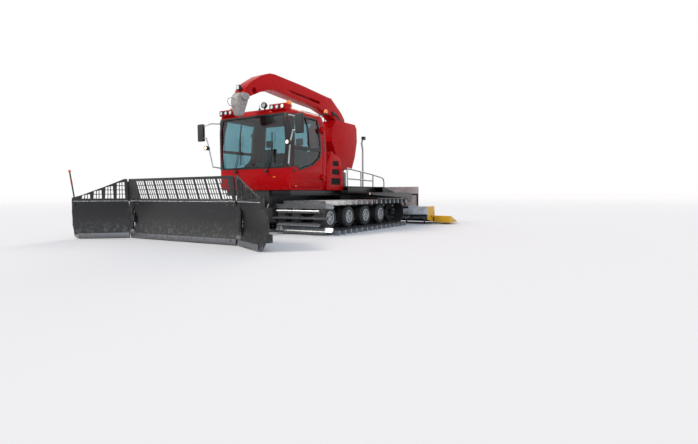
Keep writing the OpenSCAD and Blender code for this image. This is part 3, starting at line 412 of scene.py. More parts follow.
class Shape:
    """Collects points and faces, with one finish number per face."""

    def __init__(self):
        self.points, self.faces, self.slots = [], [], []

    def put(self, points, faces, slot=0):
        start = len(self.points)
        self.points += [Vector(p) for p in points]
        self.faces += [[i + start for i in face] for face in faces]
        self.slots += [slot] * len(faces)

    def box(self, low, high, slot=0):
        """A block from its lowest to its highest corner."""
        (a, b, c), (d, e, f) = low, high
        self.put([(a, b, c), (d, b, c), (d, e, c), (a, e, c), (a, b, f), (d, b, f), (d, e, f), (a, e, f)],
                 BLOCK_FACES, slot)

    def prism(self, ends, section, to_space):
        """A bar across, between two places of x, with a section of four points of y and z."""
        self.put([to_space(x, y, z) for x in ends for y, z in section], BLOCK_FACES)

    def tube(self, path, radius, sides=12, slot=0, closed=False):
        """A round bar along a path. The radius is one number or one per point."""
        path = [Vector(p) for p in path]
        count = len(path)
        radii = radius if isinstance(radius, (list, tuple)) else [radius] * count
        first = (path[1] - path[0]).normalized()
        up = Vector((0, 0, 1)) if abs(first.z) < 0.9 else Vector((1, 0, 0))
        side = first.cross(up).normalized()
        points = []
        for i in range(count):
            if closed:
                along = (path[(i + 1) % count] - path[i - 1]).normalized()
            else:
                along = (path[min(i + 1, count - 1)] - path[max(i - 1, 0)]).normalized()
            side = (side - along * side.dot(along)).normalized()
            other = along.cross(side)
            for k in range(sides):
                turn = 2 * math.pi * k / sides
                points.append(path[i] + (side * math.cos(turn) + other * math.sin(turn)) * radii[i])
        faces = []
        for i in range(count if closed else count - 1):
            j = (i + 1) % count
            for k in range(sides):
                m = (k + 1) % sides
                faces.append((i * sides + k, i * sides + m, j * sides + m, j * sides + k))
        if not closed:
            faces.append(tuple(range(sides))[::-1])
            faces.append(tuple((count - 1) * sides + k for k in range(sides)))
        self.put(points, faces, slot)

    def lathe(self, profile, place, axis, sides=24, slot=0):
        """Turns a profile of (radius, distance along the axis) round an axis. Radius 0 closes an end."""
        axis = Vector(axis).normalized()
        side = axis.orthogonal().normalized()
        other = axis.cross(side)
        place = Vector(place)
        rings, points, faces = [], [], []
        for radius, along in profile:
            if radius <= 1e-6:
                rings.append([len(points)])
                points.append(place + axis * along)
            else:
                rings.append([len(points) + k for k in range(sides)])
                for k in range(sides):
                    turn = 2 * math.pi * k / sides
                    out = side * math.cos(turn) + other * math.sin(turn)
                    points.append(place + axis * along + out * radius)
        for a, b in zip(rings, rings[1:]):
            for k in range(sides):
                m = (k + 1) % sides
                if len(a) == 1 and len(b) > 1:
                    faces.append((a[0], b[m], b[k]))
                elif len(b) == 1 and len(a) > 1:
                    faces.append((a[k], a[m], b[0]))
                elif len(a) > 1:
                    faces.append((a[k], a[m], b[m], b[k]))
        self.put(points, faces, slot)

    def slab(self, outline, low, high, to_space=sideways, slot=0):
        """A flat outline drawn from low to high; to_space(u, v, w) gives the place of a point."""
        n = len(outline)
        points = [to_space(u, v, low) for u, v in outline] + [to_space(u, v, high) for u, v in outline]
        faces = [tuple(range(n))[::-1], tuple(range(n, 2 * n))]
        faces += [(i, (i + 1) % n, n + (i + 1) % n, n + i) for i in range(n)]
        self.put(points, faces, slot)

    def band(self, outline, width, low, high, to_space, slot=0):
        """A closed frame of a given width inside an outline."""
        centre = Vector((sum(p[0] for p in outline), sum(p[1] for p in outline))) / len(outline)
        n = len(outline)
        inner = []
        for i in range(n):
            a, b, c = (Vector(outline[(i + k) % n]) for k in (-1, 0, 1))
            first, second = (b - a).normalized(), (c - b).normalized()
            normals = []
            for d in (first, second):
                normal = Vector((-d.y, d.x))
                normals.append(normal if normal.dot(centre - b) > 0 else -normal)
            mean = (normals[0] + normals[1]).normalized()
            inner.append(b + mean * width / max(0.4, mean.dot(normals[0])))
        points = []
        for w in (low, high):
            points += [to_space(u, v, w) for u, v in outline] + [to_space(p.x, p.y, w) for p in inner]
        faces = []
        for i in range(n):
            j = (i + 1) % n
            faces += [(i, n + i, n + j, j), (2 * n + i, 2 * n + j, 3 * n + j, 3 * n + i),
                      (i, j, 2 * n + j, 2 * n + i), (n + i, 3 * n + i, 3 * n + j, n + j)]
        self.put(points, faces, slot)

    def piece(self, name, body, finishes, edge=0.0, smooth=40, mirrored=False):
        """Makes the object, rides it on a body and gives it its finishes."""
        if mirrored:
            count = len(self.points)
            self.points += [Vector((-p.x, p.y, p.z)) for p in self.points]
            self.faces += [[i + count for i in reversed(face)] for face in self.faces]
            self.slots += self.slots
        mesh = bpy.data.meshes.new(name)
        mesh.from_pydata([tuple(p) for p in self.points], [], self.faces)
        for number, slot in enumerate(self.slots):
            mesh.polygons[number].material_index = slot
        made = placed(name, mesh)
        tidy(mesh, edge, smooth)
        for one in [finishes] if isinstance(finishes, str) else finishes:
            mesh.materials.append(finish(one))
        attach(made, body)
        return made


# Edges that bend by more than this are broken
SHARP = math.radians(28)


def tidy(mesh, edge, smooth, weld=0.00002, flatten=False, rounds=()):
    """Merges doubles, turns the faces outwards, breaks the sharp edges and shades the mesh smooth.

    Each of rounds is a test of a point and the width to which the edges between such points are rounded.
    """
    work = bmesh.new()
    work.from_mesh(mesh)
    bmesh.ops.remove_doubles(work, verts=work.verts, dist=weld)
    if flatten:
        bmesh.ops.dissolve_limit(work, angle_limit=math.radians(0.6), verts=work.verts, edges=work.edges,
                                 delimit={"MATERIAL"})
    bmesh.ops.recalc_face_normals(work, faces=work.faces)

    def broken(width, segments, profile, test=lambda place: True):
        chosen = [e for e in work.edges if len(e.link_faces) == 2 and e.calc_face_angle(0) > SHARP
                  and all(test(v.co) for v in e.verts)]
        bmesh.ops.bevel(work, geom=chosen, offset=width, segments=segments, profile=profile,
                        affect="EDGES", clamp_overlap=True)

    for test, width in rounds:
        broken(width, 4, 0.5, test)
    if edge > 0:
        broken(edge, 2, 0.6)
    work.to_mesh(mesh)
    work.free()
    for polygon in mesh.polygons:
        polygon.use_smooth = True
    mesh.set_sharp_from_angle(angle=math.radians(smooth))


def paint_faces(made, finishes, rule):
    """Gives each face the finish whose number rule(centre, normal) returns."""
    mesh = made.data
    mesh.materials.clear()
    for one in finishes:
        mesh.materials.append(finish(one))
    for polygon in mesh.polygons:
        polygon.material_index = rule(polygon.center, polygon.normal)


def dressed(node, finishes, rule=None, edge=0.004, smooth=35, rounds=(), dropped=None):
    """A CAD node's shape with broken edges and its finishes, in the node's place."""
    source = frame["nodes"][node]
    mesh = source.data.copy()
    mesh.materials.clear()
    made = placed(node + "_finished", mesh)
    if dropped:
        work = bmesh.new()
        work.from_mesh(mesh)
        gone = [f for f in work.faces if dropped(f.calc_center_median(), max(v.co.z for v in f.verts))]
        bmesh.ops.delete(work, geom=gone, context="FACES")
        work.to_mesh(mesh)
        work.free()
    tidy(mesh, edge, smooth, 0.00005, True, rounds)
    finishes = [finishes] if isinstance(finishes, str) else finishes
    paint_faces(made, finishes, rule or (lambda centre, normal: 0))
    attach(made, source["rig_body"])
    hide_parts(node)
    return made


def coated(node, finishes, rule=None, smooth=35):
    """A CAD node shown as it is, with its finishes."""
    source = frame["nodes"][node]
    for polygon in source.data.polygons:
        polygon.use_smooth = True
    source.data.set_sharp_from_angle(angle=math.radians(smooth))
    finishes = [finishes] if isinstance(finishes, str) else finishes
    paint_faces(source, finishes, rule or (lambda centre, normal: 0))


# The cab's skin, as the CAD draws it


def along_steps(points, at):
    """The value at a place on a broken line of (place, value)."""
    for (a, first), (b, second) in zip(points, points[1:]):
        if at <= b:
            return first + (second - first) * (at - a) / (b - a)
    return points[-1][1]


SILL, WIDEST, EAVES = 1.02, 1.93, 2.77
HALF_WIDTH, NOSE = 1.125, -1.64


def off_widest(z):
    """Share of the way from the widest height to the sill or the eaves."""
    return (z - WIDEST) / ((WIDEST - SILL) if z < WIDEST else (EAVES - WIDEST))


SIDE_STEPS = [(z, HALF_WIDTH * (1 - (0.07 if z < WIDEST else 0.1) * off_widest(z) ** 2))
              for z in [SILL + 0.25 * i for i in range(8)]]
FRONT_STEPS = [(z, NOSE + (0.111 if z < WIDEST else 0.095) * off_widest(z) ** 2)
               for z in [SILL + 0.25 * i for i in range(8)]]
PLAN = [(0.8 * i / 3, NOSE + 0.03 * (i / 3) ** 2) for i in range(4)]
PLAN += [(0.8 + 0.325 * math.sin(a), -1.61 + 0.16 * (1 - math.cos(a)))
         for a in [math.radians(15 * i) for i in range(1, 7)]]


def front_skin(x, z):
    """How far forward the cab reaches at a place on its front."""
    return max(along_steps(FRONT_STEPS, z), along_steps(PLAN, abs(x)))


def side_skin(y, z):
    """How far out the cab reaches at a place on its side."""
    turned = [(b, a) for a, b in PLAN[3:]]
    return min(along_steps(SIDE_STEPS, z), along_steps(turned, y))


def on_side(y, z, out):
    return (side_skin(y, z) + out, y, z)


def on_front(x, z, out):
    return (x, front_skin(x, z) - out, z)


def refined(outline, step=0.07):
    """The outline with points added, so that it can follow a curved skin."""
    points = []
    for i, first in enumerate(outline):
        a, b = Vector(first), Vector(outline[(i + 1) % len(outline)])
        count = max(1, round((b - a).length / step))
        points += [tuple(a.lerp(b, k / count)) for k in range(count)]
    return points


def grown(outline, by):
    """The outline moved out from its middle by a width on every side."""
    us, vs = [p[0] for p in outline], [p[1] for p in outline]
    mu, mv = (max(us) + min(us)) / 2, (max(vs) + min(vs)) / 2
    hu, hv = (max(us) - min(us)) / 2, (max(vs) - min(vs)) / 2
    return [(mu + (u - mu) * (hu + by) / hu, mv + (v - mv) * (hv + by) / hv) for u, v in outline]


def softened(outline, passes=2):
    """The outline with its corners cut round."""
    for _ in range(passes):
        outline = [tuple(Vector(a).lerp(b, t)) for a, b in zip(outline, outline[1:] + outline[:1])
                   for t in (0.25, 0.75)]
    return outline


def wrapped(shape, rows, thick=0.003, slot=0):
    """A thin skin over rows of points that all have the same count."""
    count = len(rows[0])
    outer, inner = [], []
    for r, row in enumerate(rows):
        for c, point in enumerate(row):
            along = Vector(row[min(c + 1, count - 1)]) - Vector(row[max(c - 1, 0)])
            upward = Vector(rows[min(r + 1, len(rows) - 1)][c]) - Vector(rows[max(r - 1, 0)][c])
            normal = along.cross(upward).normalized()
            outer.append(Vector(point) + normal * thick)
            inner.append(Vector(point) - normal * 0.001)
    total = len(outer)
    faces = []
    for r in range(len(rows) - 1):
        for c in range(count - 1):
            i = r * count + c
            quad = (i, i + 1, i + count + 1, i + count)
            faces += [quad, tuple(k + total for k in reversed(quad))]
    last = len(rows) - 1
    rim = list(range(count)) + [r * count + count - 1 for r in range(1, last + 1)]
    rim += [last * count + c for c in range(count - 2, -1, -1)] + [r * count for r in range(last - 1, 0, -1)]
    for a, b in zip(rim, rim[1:] + rim[:1]):
        faces.append((a, a + total, b + total, b))
    shape.put(outer + inner, faces, slot)


def evenly(path, count):
    """A path cut into points at even distances."""
    path = [Vector(p) for p in path]
    lengths = [0.0]
    for a, b in zip(path, path[1:]):
        lengths.append(lengths[-1] + (b - a).length)
    points = []
    for k in range(count):
        at = lengths[-1] * k / (count - 1)
        j = max(i for i in range(len(path) - 1) if lengths[i] <= at + 1e-9)
        span = lengths[j + 1] - lengths[j] or 1
        points.append(tuple(path[j].lerp(path[j + 1], (at - lengths[j]) / span)))
    return points


# Repeats by Geometry Nodes


def repeats(name, places, solid, sizes, body, one, turns=None, edge=0.0):
    """One small solid on each place, by Geometry Nodes, made into a plain mesh that rides on a body."""
    points = bpy.data.meshes.new(name + "_places")
    points.from_pydata([tuple(p) for p in places], [], [])
    turn = points.attributes.new("turn", "FLOAT_VECTOR", "POINT")
    for i in range(len(places)):
        turn.data[i].vector = turns[i] if turns else (0, 0, 0)
    holder = placed(name + "_places", points)
    tree = bpy.data.node_groups.new(name, "GeometryNodeTree")
    tree.interface.new_socket("Geometry", in_out="INPUT", socket_type="NodeSocketGeometry")
    kinds = {"bar": (("Size", "NodeSocketVector"),),
             "bolt": (("Radius", "NodeSocketFloat"), ("Depth", "NodeSocketFloat"))}[solid]
    named = {key: tree.interface.new_socket(key, in_out="INPUT", socket_type=kind) for key, kind in kinds}
    tree.interface.new_socket("Geometry", in_out="OUTPUT", socket_type="NodeSocketGeometry")
    given = add(tree, "NodeGroupInput")
    if solid == "bar":
        form = add(tree, "GeometryNodeMeshCube", feeds={"Size": given.outputs["Size"]})
    else:
        form = add(tree, "GeometryNodeMeshCylinder", {"Vertices": 6},
                   {"Radius": given.outputs["Radius"], "Depth": given.outputs["Depth"]})
    spin = add(tree, "GeometryNodeInputNamedAttribute", {"Name": "turn"}, data_type="FLOAT_VECTOR")
    copies = add(tree, "GeometryNodeInstanceOnPoints", feeds={
        "Points": given.outputs["Geometry"], "Instance": form.outputs["Mesh"],
        "Rotation": spin.outputs["Attribute"]})
    real = add(tree, "GeometryNodeRealizeInstances", feeds={"Geometry": copies.outputs["Instances"]})
    painted = add(tree, "GeometryNodeSetMaterial", {"Material": finish(one)},
                  {"Geometry": real.outputs["Geometry"]})
    add(tree, "NodeGroupOutput", feeds={"Geometry": painted.outputs["Geometry"]})
    modifier = holder.modifiers.new("repeats", "NODES")
    modifier.node_group = tree
    for key, value in sizes.items():
        modifier[named[key].identifier] = value
    mesh = evaluated(holder)
    bpy.data.objects.remove(holder)
    made = placed(name, mesh)
    tidy(mesh, edge, 30, 0.000001)
    mesh.materials.clear()
    mesh.materials.append(finish(one))
    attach(made, body)
    return made


# A cushion starts this much smaller, and no point of it moves further than its crown
SLACK, CROWN = 0.014, 0.026


def stuffed(name, low, high, copies, body, one):
    """A foam cushion: a rounded block that pressure crowns. Its copies share the mesh's form."""
    block = Shape()
    block.box([v + SLACK for v in low], [v - SLACK for v in high])
    mesh = bpy.data.meshes.new(name)
    mesh.from_pydata([tuple(p) for p in block.points], [], block.faces)
    tidy(mesh, 0.03, 60)
    made = placed(name, mesh)
    voxels = made.modifiers.new("voxels", "REMESH")
    voxels.mode, voxels.voxel_size = "VOXEL", 0.006
    mesh = evaluated(made)
    made.data = mesh
    start = [v.co.copy() for v in mesh.vertices]
    filling = made.modifiers.new("filling", "CLOTH")
    filling.settings.use_pressure = True
    filling.settings.uniform_pressure_force = 4
    filling.settings.effector_weights.gravity = 0
    for step in range(1, 21):
        bpy.context.scene.frame_set(step)
    swollen = evaluated(made)
    bpy.context.scene.frame_set(1)
    for vertex, before in zip(swollen.vertices, start):
        move = vertex.co - before
        if move.length > CROWN:
            vertex.co = before + move.normalized() * CROWN
    made.data = swollen
    tidy(swollen, 0, 75, 0)
    swollen.materials.clear()
    swollen.materials.append(finish(one))
    pieces = [made]
    for number, shift in enumerate(copies):
        twin = placed(f"{name}_{number + 2}", swollen.copy())
        for vertex in twin.data.vertices:
            vertex.co += Vector(shift)
        pieces.append(twin)
    for piece in pieces:
        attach(piece, body)
    return pieces


# Settings


class GroomerPaint(bpy.types.PropertyGroup):
    """Colours that a user would change."""

    body: FloatVectorProperty(name="Body", description="Colour of the body panels", subtype="COLOR",
                              size=4, min=0, max=1, default=linear("#b3070e"))


class GroomerSizes(bpy.types.PropertyGroup):
    """Sizes that a user would change."""

    edge: FloatProperty(name="Edge", description="Width of the broken edges of panels", unit="LENGTH",
                        default=0.004, min=0.0, max=0.02)
    mesh_pitch: FloatProperty(name="Mesh pitch", unit="LENGTH", default=0.09, min=0.03, max=0.2,
                              description="Distance between the level bars of the blade's mesh")


# Operators

# Panes of a door: y, z
UPPER_PANE = [(-1.43, 2.01), (-0.37, 2.01), (-0.37, 2.725), (-1.355, 2.725)]
LOWER_PANE = [(-1.43, 1.56), (-1.29, 1.56), (-1.2, 1.49), (-0.68, 1.62), (-0.42, 1.79), (-0.37, 1.96),
              (-1.43, 1.96)]
# Right half of the windscreen: x, z
SCREEN = [(0.93, 1.525), (1.0, 1.8), (1.02, 2.05), (1.0, 2.4), (0.95, 2.735)]
# Front edge of a door: z, y
DOOR_EDGE = [(1.07, -1.48), (1.5, -1.49), (2.0, -1.49), (2.785, -1.4)]
# Intakes in a side of the rear body: y, z
INTAKES = [rectangle(0.2, 1.64, 0.48, 1.77), rectangle(0.17, 1.42, 0.52, 1.56),
           rectangle(0.12, 1.16, 0.56, 1.33)]


class GROOMER_OT_panels(bpy.types.Operator):
    """Body panels, cab and winch"""

    bl_idname = "groomer.panels"
    bl_label = "Panels"

    def execute(self, context):
        edge = context.scene.groomer_sizes.edge
        for node in ("cab_shell", "door_left", "door_right"):
            dressed(node, "red_enamel", edge=edge)
        dressed("rear_body", "red_enamel", edge=edge * 1.5)
        dressed("winch_housing", "red_enamel", edge=edge, rounds=((lambda p: p.z > 1.7, 0.05),))
        dressed("winch_boom", "red_enamel", edge=edge * 3)
        for node in ("cab_glass", "door_glass_left", "door_glass_right"):
            coated(node, "tinted_glass", smooth=30)
        dressed("winch_base", "black_enamel", edge=edge)
        coated("engine_block", "cast_grey")

        seals = Shape()
        whole = SCREEN + [(-x, z) for x, z in reversed(SCREEN)]
        seals.band(refined(grown(whole, 0.016)), 0.042, -0.002, 0.004, on_front)
        seals.piece("screen_seal", "chassis", "seal_rubber")

        pillars = Shape()
        rows, foot, height, count = [], 1.525, 1.21, 24
        for i in range(count + 1):
            z = foot + height * i / count
            x = along_steps([(b, a) for a, b in SCREEN], z) + 0.01
            end = along_steps(DOOR_EDGE, z) - 0.002
            front, side = along_steps(FRONT_STEPS, z), along_steps(SIDE_STEPS, z)
            path = [(x, front_skin(x, z), z)]
            path += [(min(a, side), max(b, front), z) for a, b in PLAN if a > x + 0.01 and b < end]
            path.append((side_skin(end, z), end, z))
            corner = max(range(1, len(path) - 1), key=lambda i: path[i][0] - path[i][1])
            rows.append(evenly(path[: corner + 1], 5) + evenly(path[corner:], 5)[1:])
        wrapped(pillars, rows, 0.008)
        pillars.piece("pillar_covers", "chassis", "moulded_black", mirrored=True)

        for side, body in ((1, "door_left"), (-1, "door_right")):
            frames = Shape()

            def skin(y, z, out, side=side):
                return (side * (side_skin(y, z) + out), y, z)

            for pane in (UPPER_PANE, LOWER_PANE):
                frames.band(refined(grown(pane, 0.028)), 0.04, -0.002, 0.004, skin)
            rows = []
            for i in range(13):
                z = 1.545 + 1.19 * i / 12
                start, wide = along_steps(DOOR_EDGE, z) + 0.004, 0.068 if z < 2 else 0.058
                rows.append([skin(start + wide * k / 3, z, 0) for k in range(4)])
            if side < 0:
                rows = [row[::-1] for row in rows]
            wrapped(frames, rows)
            frames.slab(refined(rectangle(-0.855, 2.0, -0.825, 2.735)), -0.02, 0.003, skin)
            oval = [(-1.405 + 0.055 * math.cos(a), 1.462 + 0.03 * math.sin(a))
                    for a in [2 * math.pi * k / 24 for k in range(24)]]
            frames.slab(oval, -0.002, 0.003, skin)
            frames.slab(rectangle(-1.445, 1.452, -1.375, 1.474), 0.0, 0.014, skin)
            frames.slab(rectangle(-1.34, 1.1, -1.28, 1.122), -0.002, 0.012, skin, 1)
            frames.piece(body + "_trim", body, ["moulded_black", "amber_dome"], 0.0015)

        trim = Shape()
        trim.slab(rectangle(0.64, 1.3, 0.71, 1.33), -0.002, 0.014, on_front, 1)
        for i in range(8):
            low = 1.985 + 0.095 * i
            trim.slab(rectangle(-0.24, low - 0.004, -0.17, low + 0.059), -0.002, 0.003, on_side)
        trim.piece("cab_trim", "chassis", ["moulded_black", "amber_dome"], 0.0015, mirrored=True)

        rail = Shape()
        rail.tube(at(0.985, (-0.98, 2.832), (-0.95, 2.872), (-0.12, 2.868), (-0.09, 2.83)), 0.011, 10)
        for y in (-0.74, -0.32):
            rail.tube(at(0.985, (y, 2.872), (y, 2.822)), 0.008, 8)
        rail.piece("roof_rail", "chassis", "zinc_coat", mirrored=True)

        aerial = Shape()
        aerial.lathe([(0, -0.02), (0.032, -0.02), (0.03, 0.012), (0.014, 0.035), (0.007, 0.05), (0.005, 0.11),
                      (0, 0.112)], (0.1, -1.4, 2.9), (0, 0, 1), 16)
        aerial.piece("aerial", "chassis", "moulded_black")

        slats, places, grids = Shape(), [], Shape()
        for outline in INTAKES:
            grids.slab(grown(outline, 0.01), 1.064, 1.069)
            low, high = min(p[1] for p in outline), max(p[1] for p in outline)
            count = round((high - low) / 0.036)
            for k in range(1, count):
                z = low + (high - low) * k / count
                ends = []
                for i, (a, b) in enumerate(zip(outline, outline[1:] + outline[:1])):
                    if (a[1] - z) * (b[1] - z) < 0:
                        ends.append(a[0] + (b[0] - a[0]) * (z - a[1]) / (b[1] - a[1]))
                if len(ends) == 2 and abs(ends[0] - ends[1]) > 0.03:
                    y0, y1 = sorted(ends)
                    slats.slab([(1.069, z - 0.012), (1.092, z + 0.006), (1.092, z + 0.01), (1.069, z - 0.006)],
                               y0 - 0.004, y1 + 0.004, lambda u, v, w: (u, w, v))
        grids.piece("intake_backs", "chassis", "seal_rubber", mirrored=True)
        slats.piece("intake_slats", "chassis", "moulded_black", mirrored=True)

        boom = Shape()
        boom.box((-0.05, -2.01, 3.265), (0.05, -1.945, 3.375), 0)
        boom.box((-0.04, -2.014, 3.275), (0.04, -2.009, 3.365), 1)
        boom.box((-0.02, -1.95, 3.28), (0.02, -1.88, 3.34), 0)
        boom.piece("boom_lamp", "winch", ["moulded_black", "clear_lens"], 0.004)
        casting = Shape()
        casting.slab(softened([(-1.99, 3.22), (-1.77, 3.22), (-1.78, 3.06), (-1.86, 2.88), (-1.92, 2.73),
                               (-1.99, 2.68), (-2.05, 2.72), (-2.11, 2.85), (-2.14, 2.98), (-2.1, 3.14)]),
                     -0.095, 0.095)
        for side in (-1, 1):
            casting.lathe([(0, 0), (0.03, 0), (0.036, 0.008), (0.036, 0.016), (0.028, 0.022), (0, 0.022)],
                          (side * 0.09, -1.99, 2.96), (side, 0, 0), 20)
            casting.slab(softened([(-2.02, 3.2), (-1.79, 3.2), (-1.8, 3.08), (-1.9, 3.03), (-2.03, 3.08)]),
                         0.09, 0.155, lambda u, v, w, side=side: (side * w, u, v))
        block = casting.piece("head_casting", "winch", "cast_grey", 0.022, 50)
        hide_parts("sheave_head")
        rope = Shape()
        rope.tube(at(0, (-2.05, 3.02), (-2.2, 3.06), (-2.31, 3.02), (-2.33, 2.94), (-2.27, 2.88),
                     (-2.08, 2.86)), 0.007, 8)
        rope.tube(at(0.02, (-1.97, 2.83), (-1.97, 2.72)), 0.011, 8)
        rope.lathe([(0, 0), (0.022, 0.004), (0.026, 0.02), (0.026, 0.05), (0.014, 0.062), (0, 0.062)],
                   (0.02, -1.97, 2.665), (0, 0, 1), 12)
        rope.piece("rope_end", "winch", "bare_steel", smooth=50)
        joint = Shape()
        joint.lathe([(0, 0), (0.06, 0), (0.066, 0.008), (0.066, 0.03), (0.05, 0.04), (0.03, 0.044), (0, 0.044)],
                    (0.149, 1.7, 3.26), (1, 0, 0), 20)
        joint.tube([(0.17, 1.7, 3.3), (0.19, 1.86, 3.24), (0.22, 1.98, 3.12), (0.24, 2.04, 3.015)], 0.014, 8)
        joint.tube([(0.19, 1.66, 3.25), (0.22, 1.8, 3.2), (0.26, 1.9, 3.1), (0.28, 1.95, 3.015)], 0.014, 8)
        joint.piece("boom_joint", "winch", "moulded_black", smooth=50, mirrored=True)
        beacon = Shape()
        beacon.tube([(0.92, -0.22, 2.84), (0.98, -0.14, 2.895), (1.07, -0.06, 2.905)], 0.014, 8)
        beacon.lathe([(0, 0), (0.052, 0), (0.052, 0.03), (0, 0.032)], (1.07, -0.06, 2.9), (0, 0, 1), 20)
        beacon.lathe([(0, 0.03), (0.046, 0.03), (0.046, 0.08), (0.036, 0.11), (0.018, 0.126), (0, 0.13)],
                     (1.07, -0.06, 2.9), (0, 0, 1), 20, 1)
        beacon.piece("rear_beacons", "chassis", ["moulded_black", "amber_dome"], smooth=50, mirrored=True)
        return {"FINISHED"}


# Along a track: the road wheels' axles, the sprocket's shaft, the height of all and the belt's outer radius
WHEEL_YS, SPROCKET_Y, WHEEL_HEIGHT, BELT_RADIUS = (-1.13, -0.3, 0.53, 1.36), 2.53, 0.39, 0.29


class GROOMER_OT_running_gear(bpy.types.Operator):
    """Tracks, wheels, chassis and deck"""

    bl_idname = "groomer.running_gear"
    bl_label = "Running gear"

    def execute(self, context):
        def is_belt(centre, normal):
            along = min(max(centre.y, WHEEL_YS[0]), SPROCKET_Y)
            reach = math.hypot(centre.y - along, centre.z - WHEEL_HEIGHT)
            return 1 if reach < BELT_RADIUS + 0.004 else 0

        for node in ("track_left", "track_right"):
            coated(node, ["worn_alloy", "belt_rubber"], is_belt, 20)
        coated("tyres", "belt_rubber", smooth=35)
        dressed("rims", "zinc_coat", edge=0.003)
        coated("running_gear", "black_enamel")
        dressed("chassis", "black_enamel", edge=0.003)
        dressed("deck", "black_enamel", edge=0.004)
        coated("handrails", ["zinc_coat", "moulded_black"], lambda c, n: 1 if c.z > 2.46 else 0, smooth=50)

        spokes, turns, nuts = [], [], []
        for side in (1, -1):
            for y in WHEEL_YS:
                for a in [math.radians(60 * k + 15) for k in range(6)]:
                    spokes.append((side * 1.838, y + 0.088 * math.cos(a), WHEEL_HEIGHT + 0.088 * math.sin(a)))
                    turns.append((a - math.pi / 2, 0, 0))
                    nuts.append((side * 1.861, y + 0.036 * math.cos(a), WHEEL_HEIGHT + 0.036 * math.sin(a)))
        repeats("rim_spokes", spokes, "bar", {"Size": (0.034, 0.03, 0.082)}, "chassis", "zinc_coat", turns,
                0.004)
        repeats("wheel_nuts", nuts, "bolt", {"Radius": 0.009, "Depth": 0.016}, "chassis", "bare_steel",
                [(0, math.pi / 2, 0)] * len(nuts))

        skirt = Shape()
        skirt.slab([(0.6, 0.9), (2.3, 0.82), (2.75, 0.78), (2.97, 0.66), (3.1, 0.66), (3.15, 0.79),
                    (3.03, 0.957), (0.52, 0.957)], 2.012, 2.038)
        # The inner plate at x 0.98, under the fender, is a dark sheet put there as painted shade, where only
        # shadow falls between the track and the fender
        skirt.slab(rectangle(0.72, 0.775, 2.95, 0.932), 0.98, 1.0)
        skirt.slab(rectangle(0.712, 0.958, 2.262, 1.092), 1.222, 1.246)
        skirt.piece("fender_skirts_and_shade_plate", "chassis", "black_enamel", 0.004, mirrored=True)
        cover = Shape()
        cover.slab([(2.27, 1.128), (2.4, 1.11), (3.02, 0.985), (3.02, 0.96), (2.4, 1.085), (2.27, 1.103)],
                   0.55, 1.5)
        cover.slab([(2.27, 1.11), (2.4, 1.09), (3.02, 0.962), (2.27, 0.962)], 1.476, 1.498)
        cover.piece("rear_covers", "chassis", "black_enamel", 0.004, mirrored=True)
        rail = Shape()
        rail.tube(at(1.2, (2.215, 1.475), (2.8, 1.41), (2.9, 1.37), (2.945, 1.28), (2.95, 0.985)), 0.019, 12)
        rail.piece("rail_ends", "chassis", "zinc_coat", smooth=50, mirrored=True)

        lamp = Shape()
        lamp.box((1.965, 0.428, 0.9), (2.036, 0.485, 0.972), 0)
        lamp.box((2.03, 0.434, 0.936), (2.039, 0.48, 0.966), 1)
        lamp.box((2.03, 0.434, 0.906), (2.039, 0.48, 0.934), 2)
        lamp.piece("side_lamps", "chassis", ["moulded_black", "amber_dome", "lit_lens"], 0.003, mirrored=True)
        return {"FINISHED"}


# Hinge of the left wing: x, y. The right wing's is its mirror image
WING_AXIS = (1.57, -3.63)
# Side of each wing, and how far it is swung forward at rest, in degrees
WINGS = {"wing_left": (1, 27), "wing_right": (-1, 40)}


def wing_place(side, degrees):
    """Turns a place on a wing, measured from its hinge, to the machine's own place."""
    turn = -math.radians(degrees)

    def to_space(x, y, z):
        across, along = x, y - WING_AXIS[1]
        return (side * (WING_AXIS[0] + across * math.cos(turn) - along * math.sin(turn)),
                WING_AXIS[1] + across * math.sin(turn) + along * math.cos(turn), z)

    return to_space


# Foot and tip of the marker pole on the right wing
POLE = [Vector(wing_place(*WINGS["wing_right"])(x, -3.645, z)) for x, z in ((1.13, 0.91), (1.2, 1.45))]
# Circle of the mouldboard's hollow: its radius, and the y and z of its middle
HOLLOW, HOLLOW_Y, HOLLOW_Z = 0.8105, -4.4005, 0.41
# The leaning mesh over the mouldboard: y at its foot, how far its head leans, foot and height
MESH_Y, MESH_LEAN, MESH_FOOT, MESH_HEIGHT = -3.68, 0.03, 0.796, 0.464


def mesh_plane(z):
    """The middle of the leaning mesh at a height."""
    return MESH_Y - MESH_LEAN * (z - MESH_FOOT) / MESH_HEIGHT


def mould_front(z):
    """The hollow face of the mouldboard at a height."""
    return HOLLOW_Y + math.sqrt(HOLLOW**2 - (z - HOLLOW_Z) ** 2)


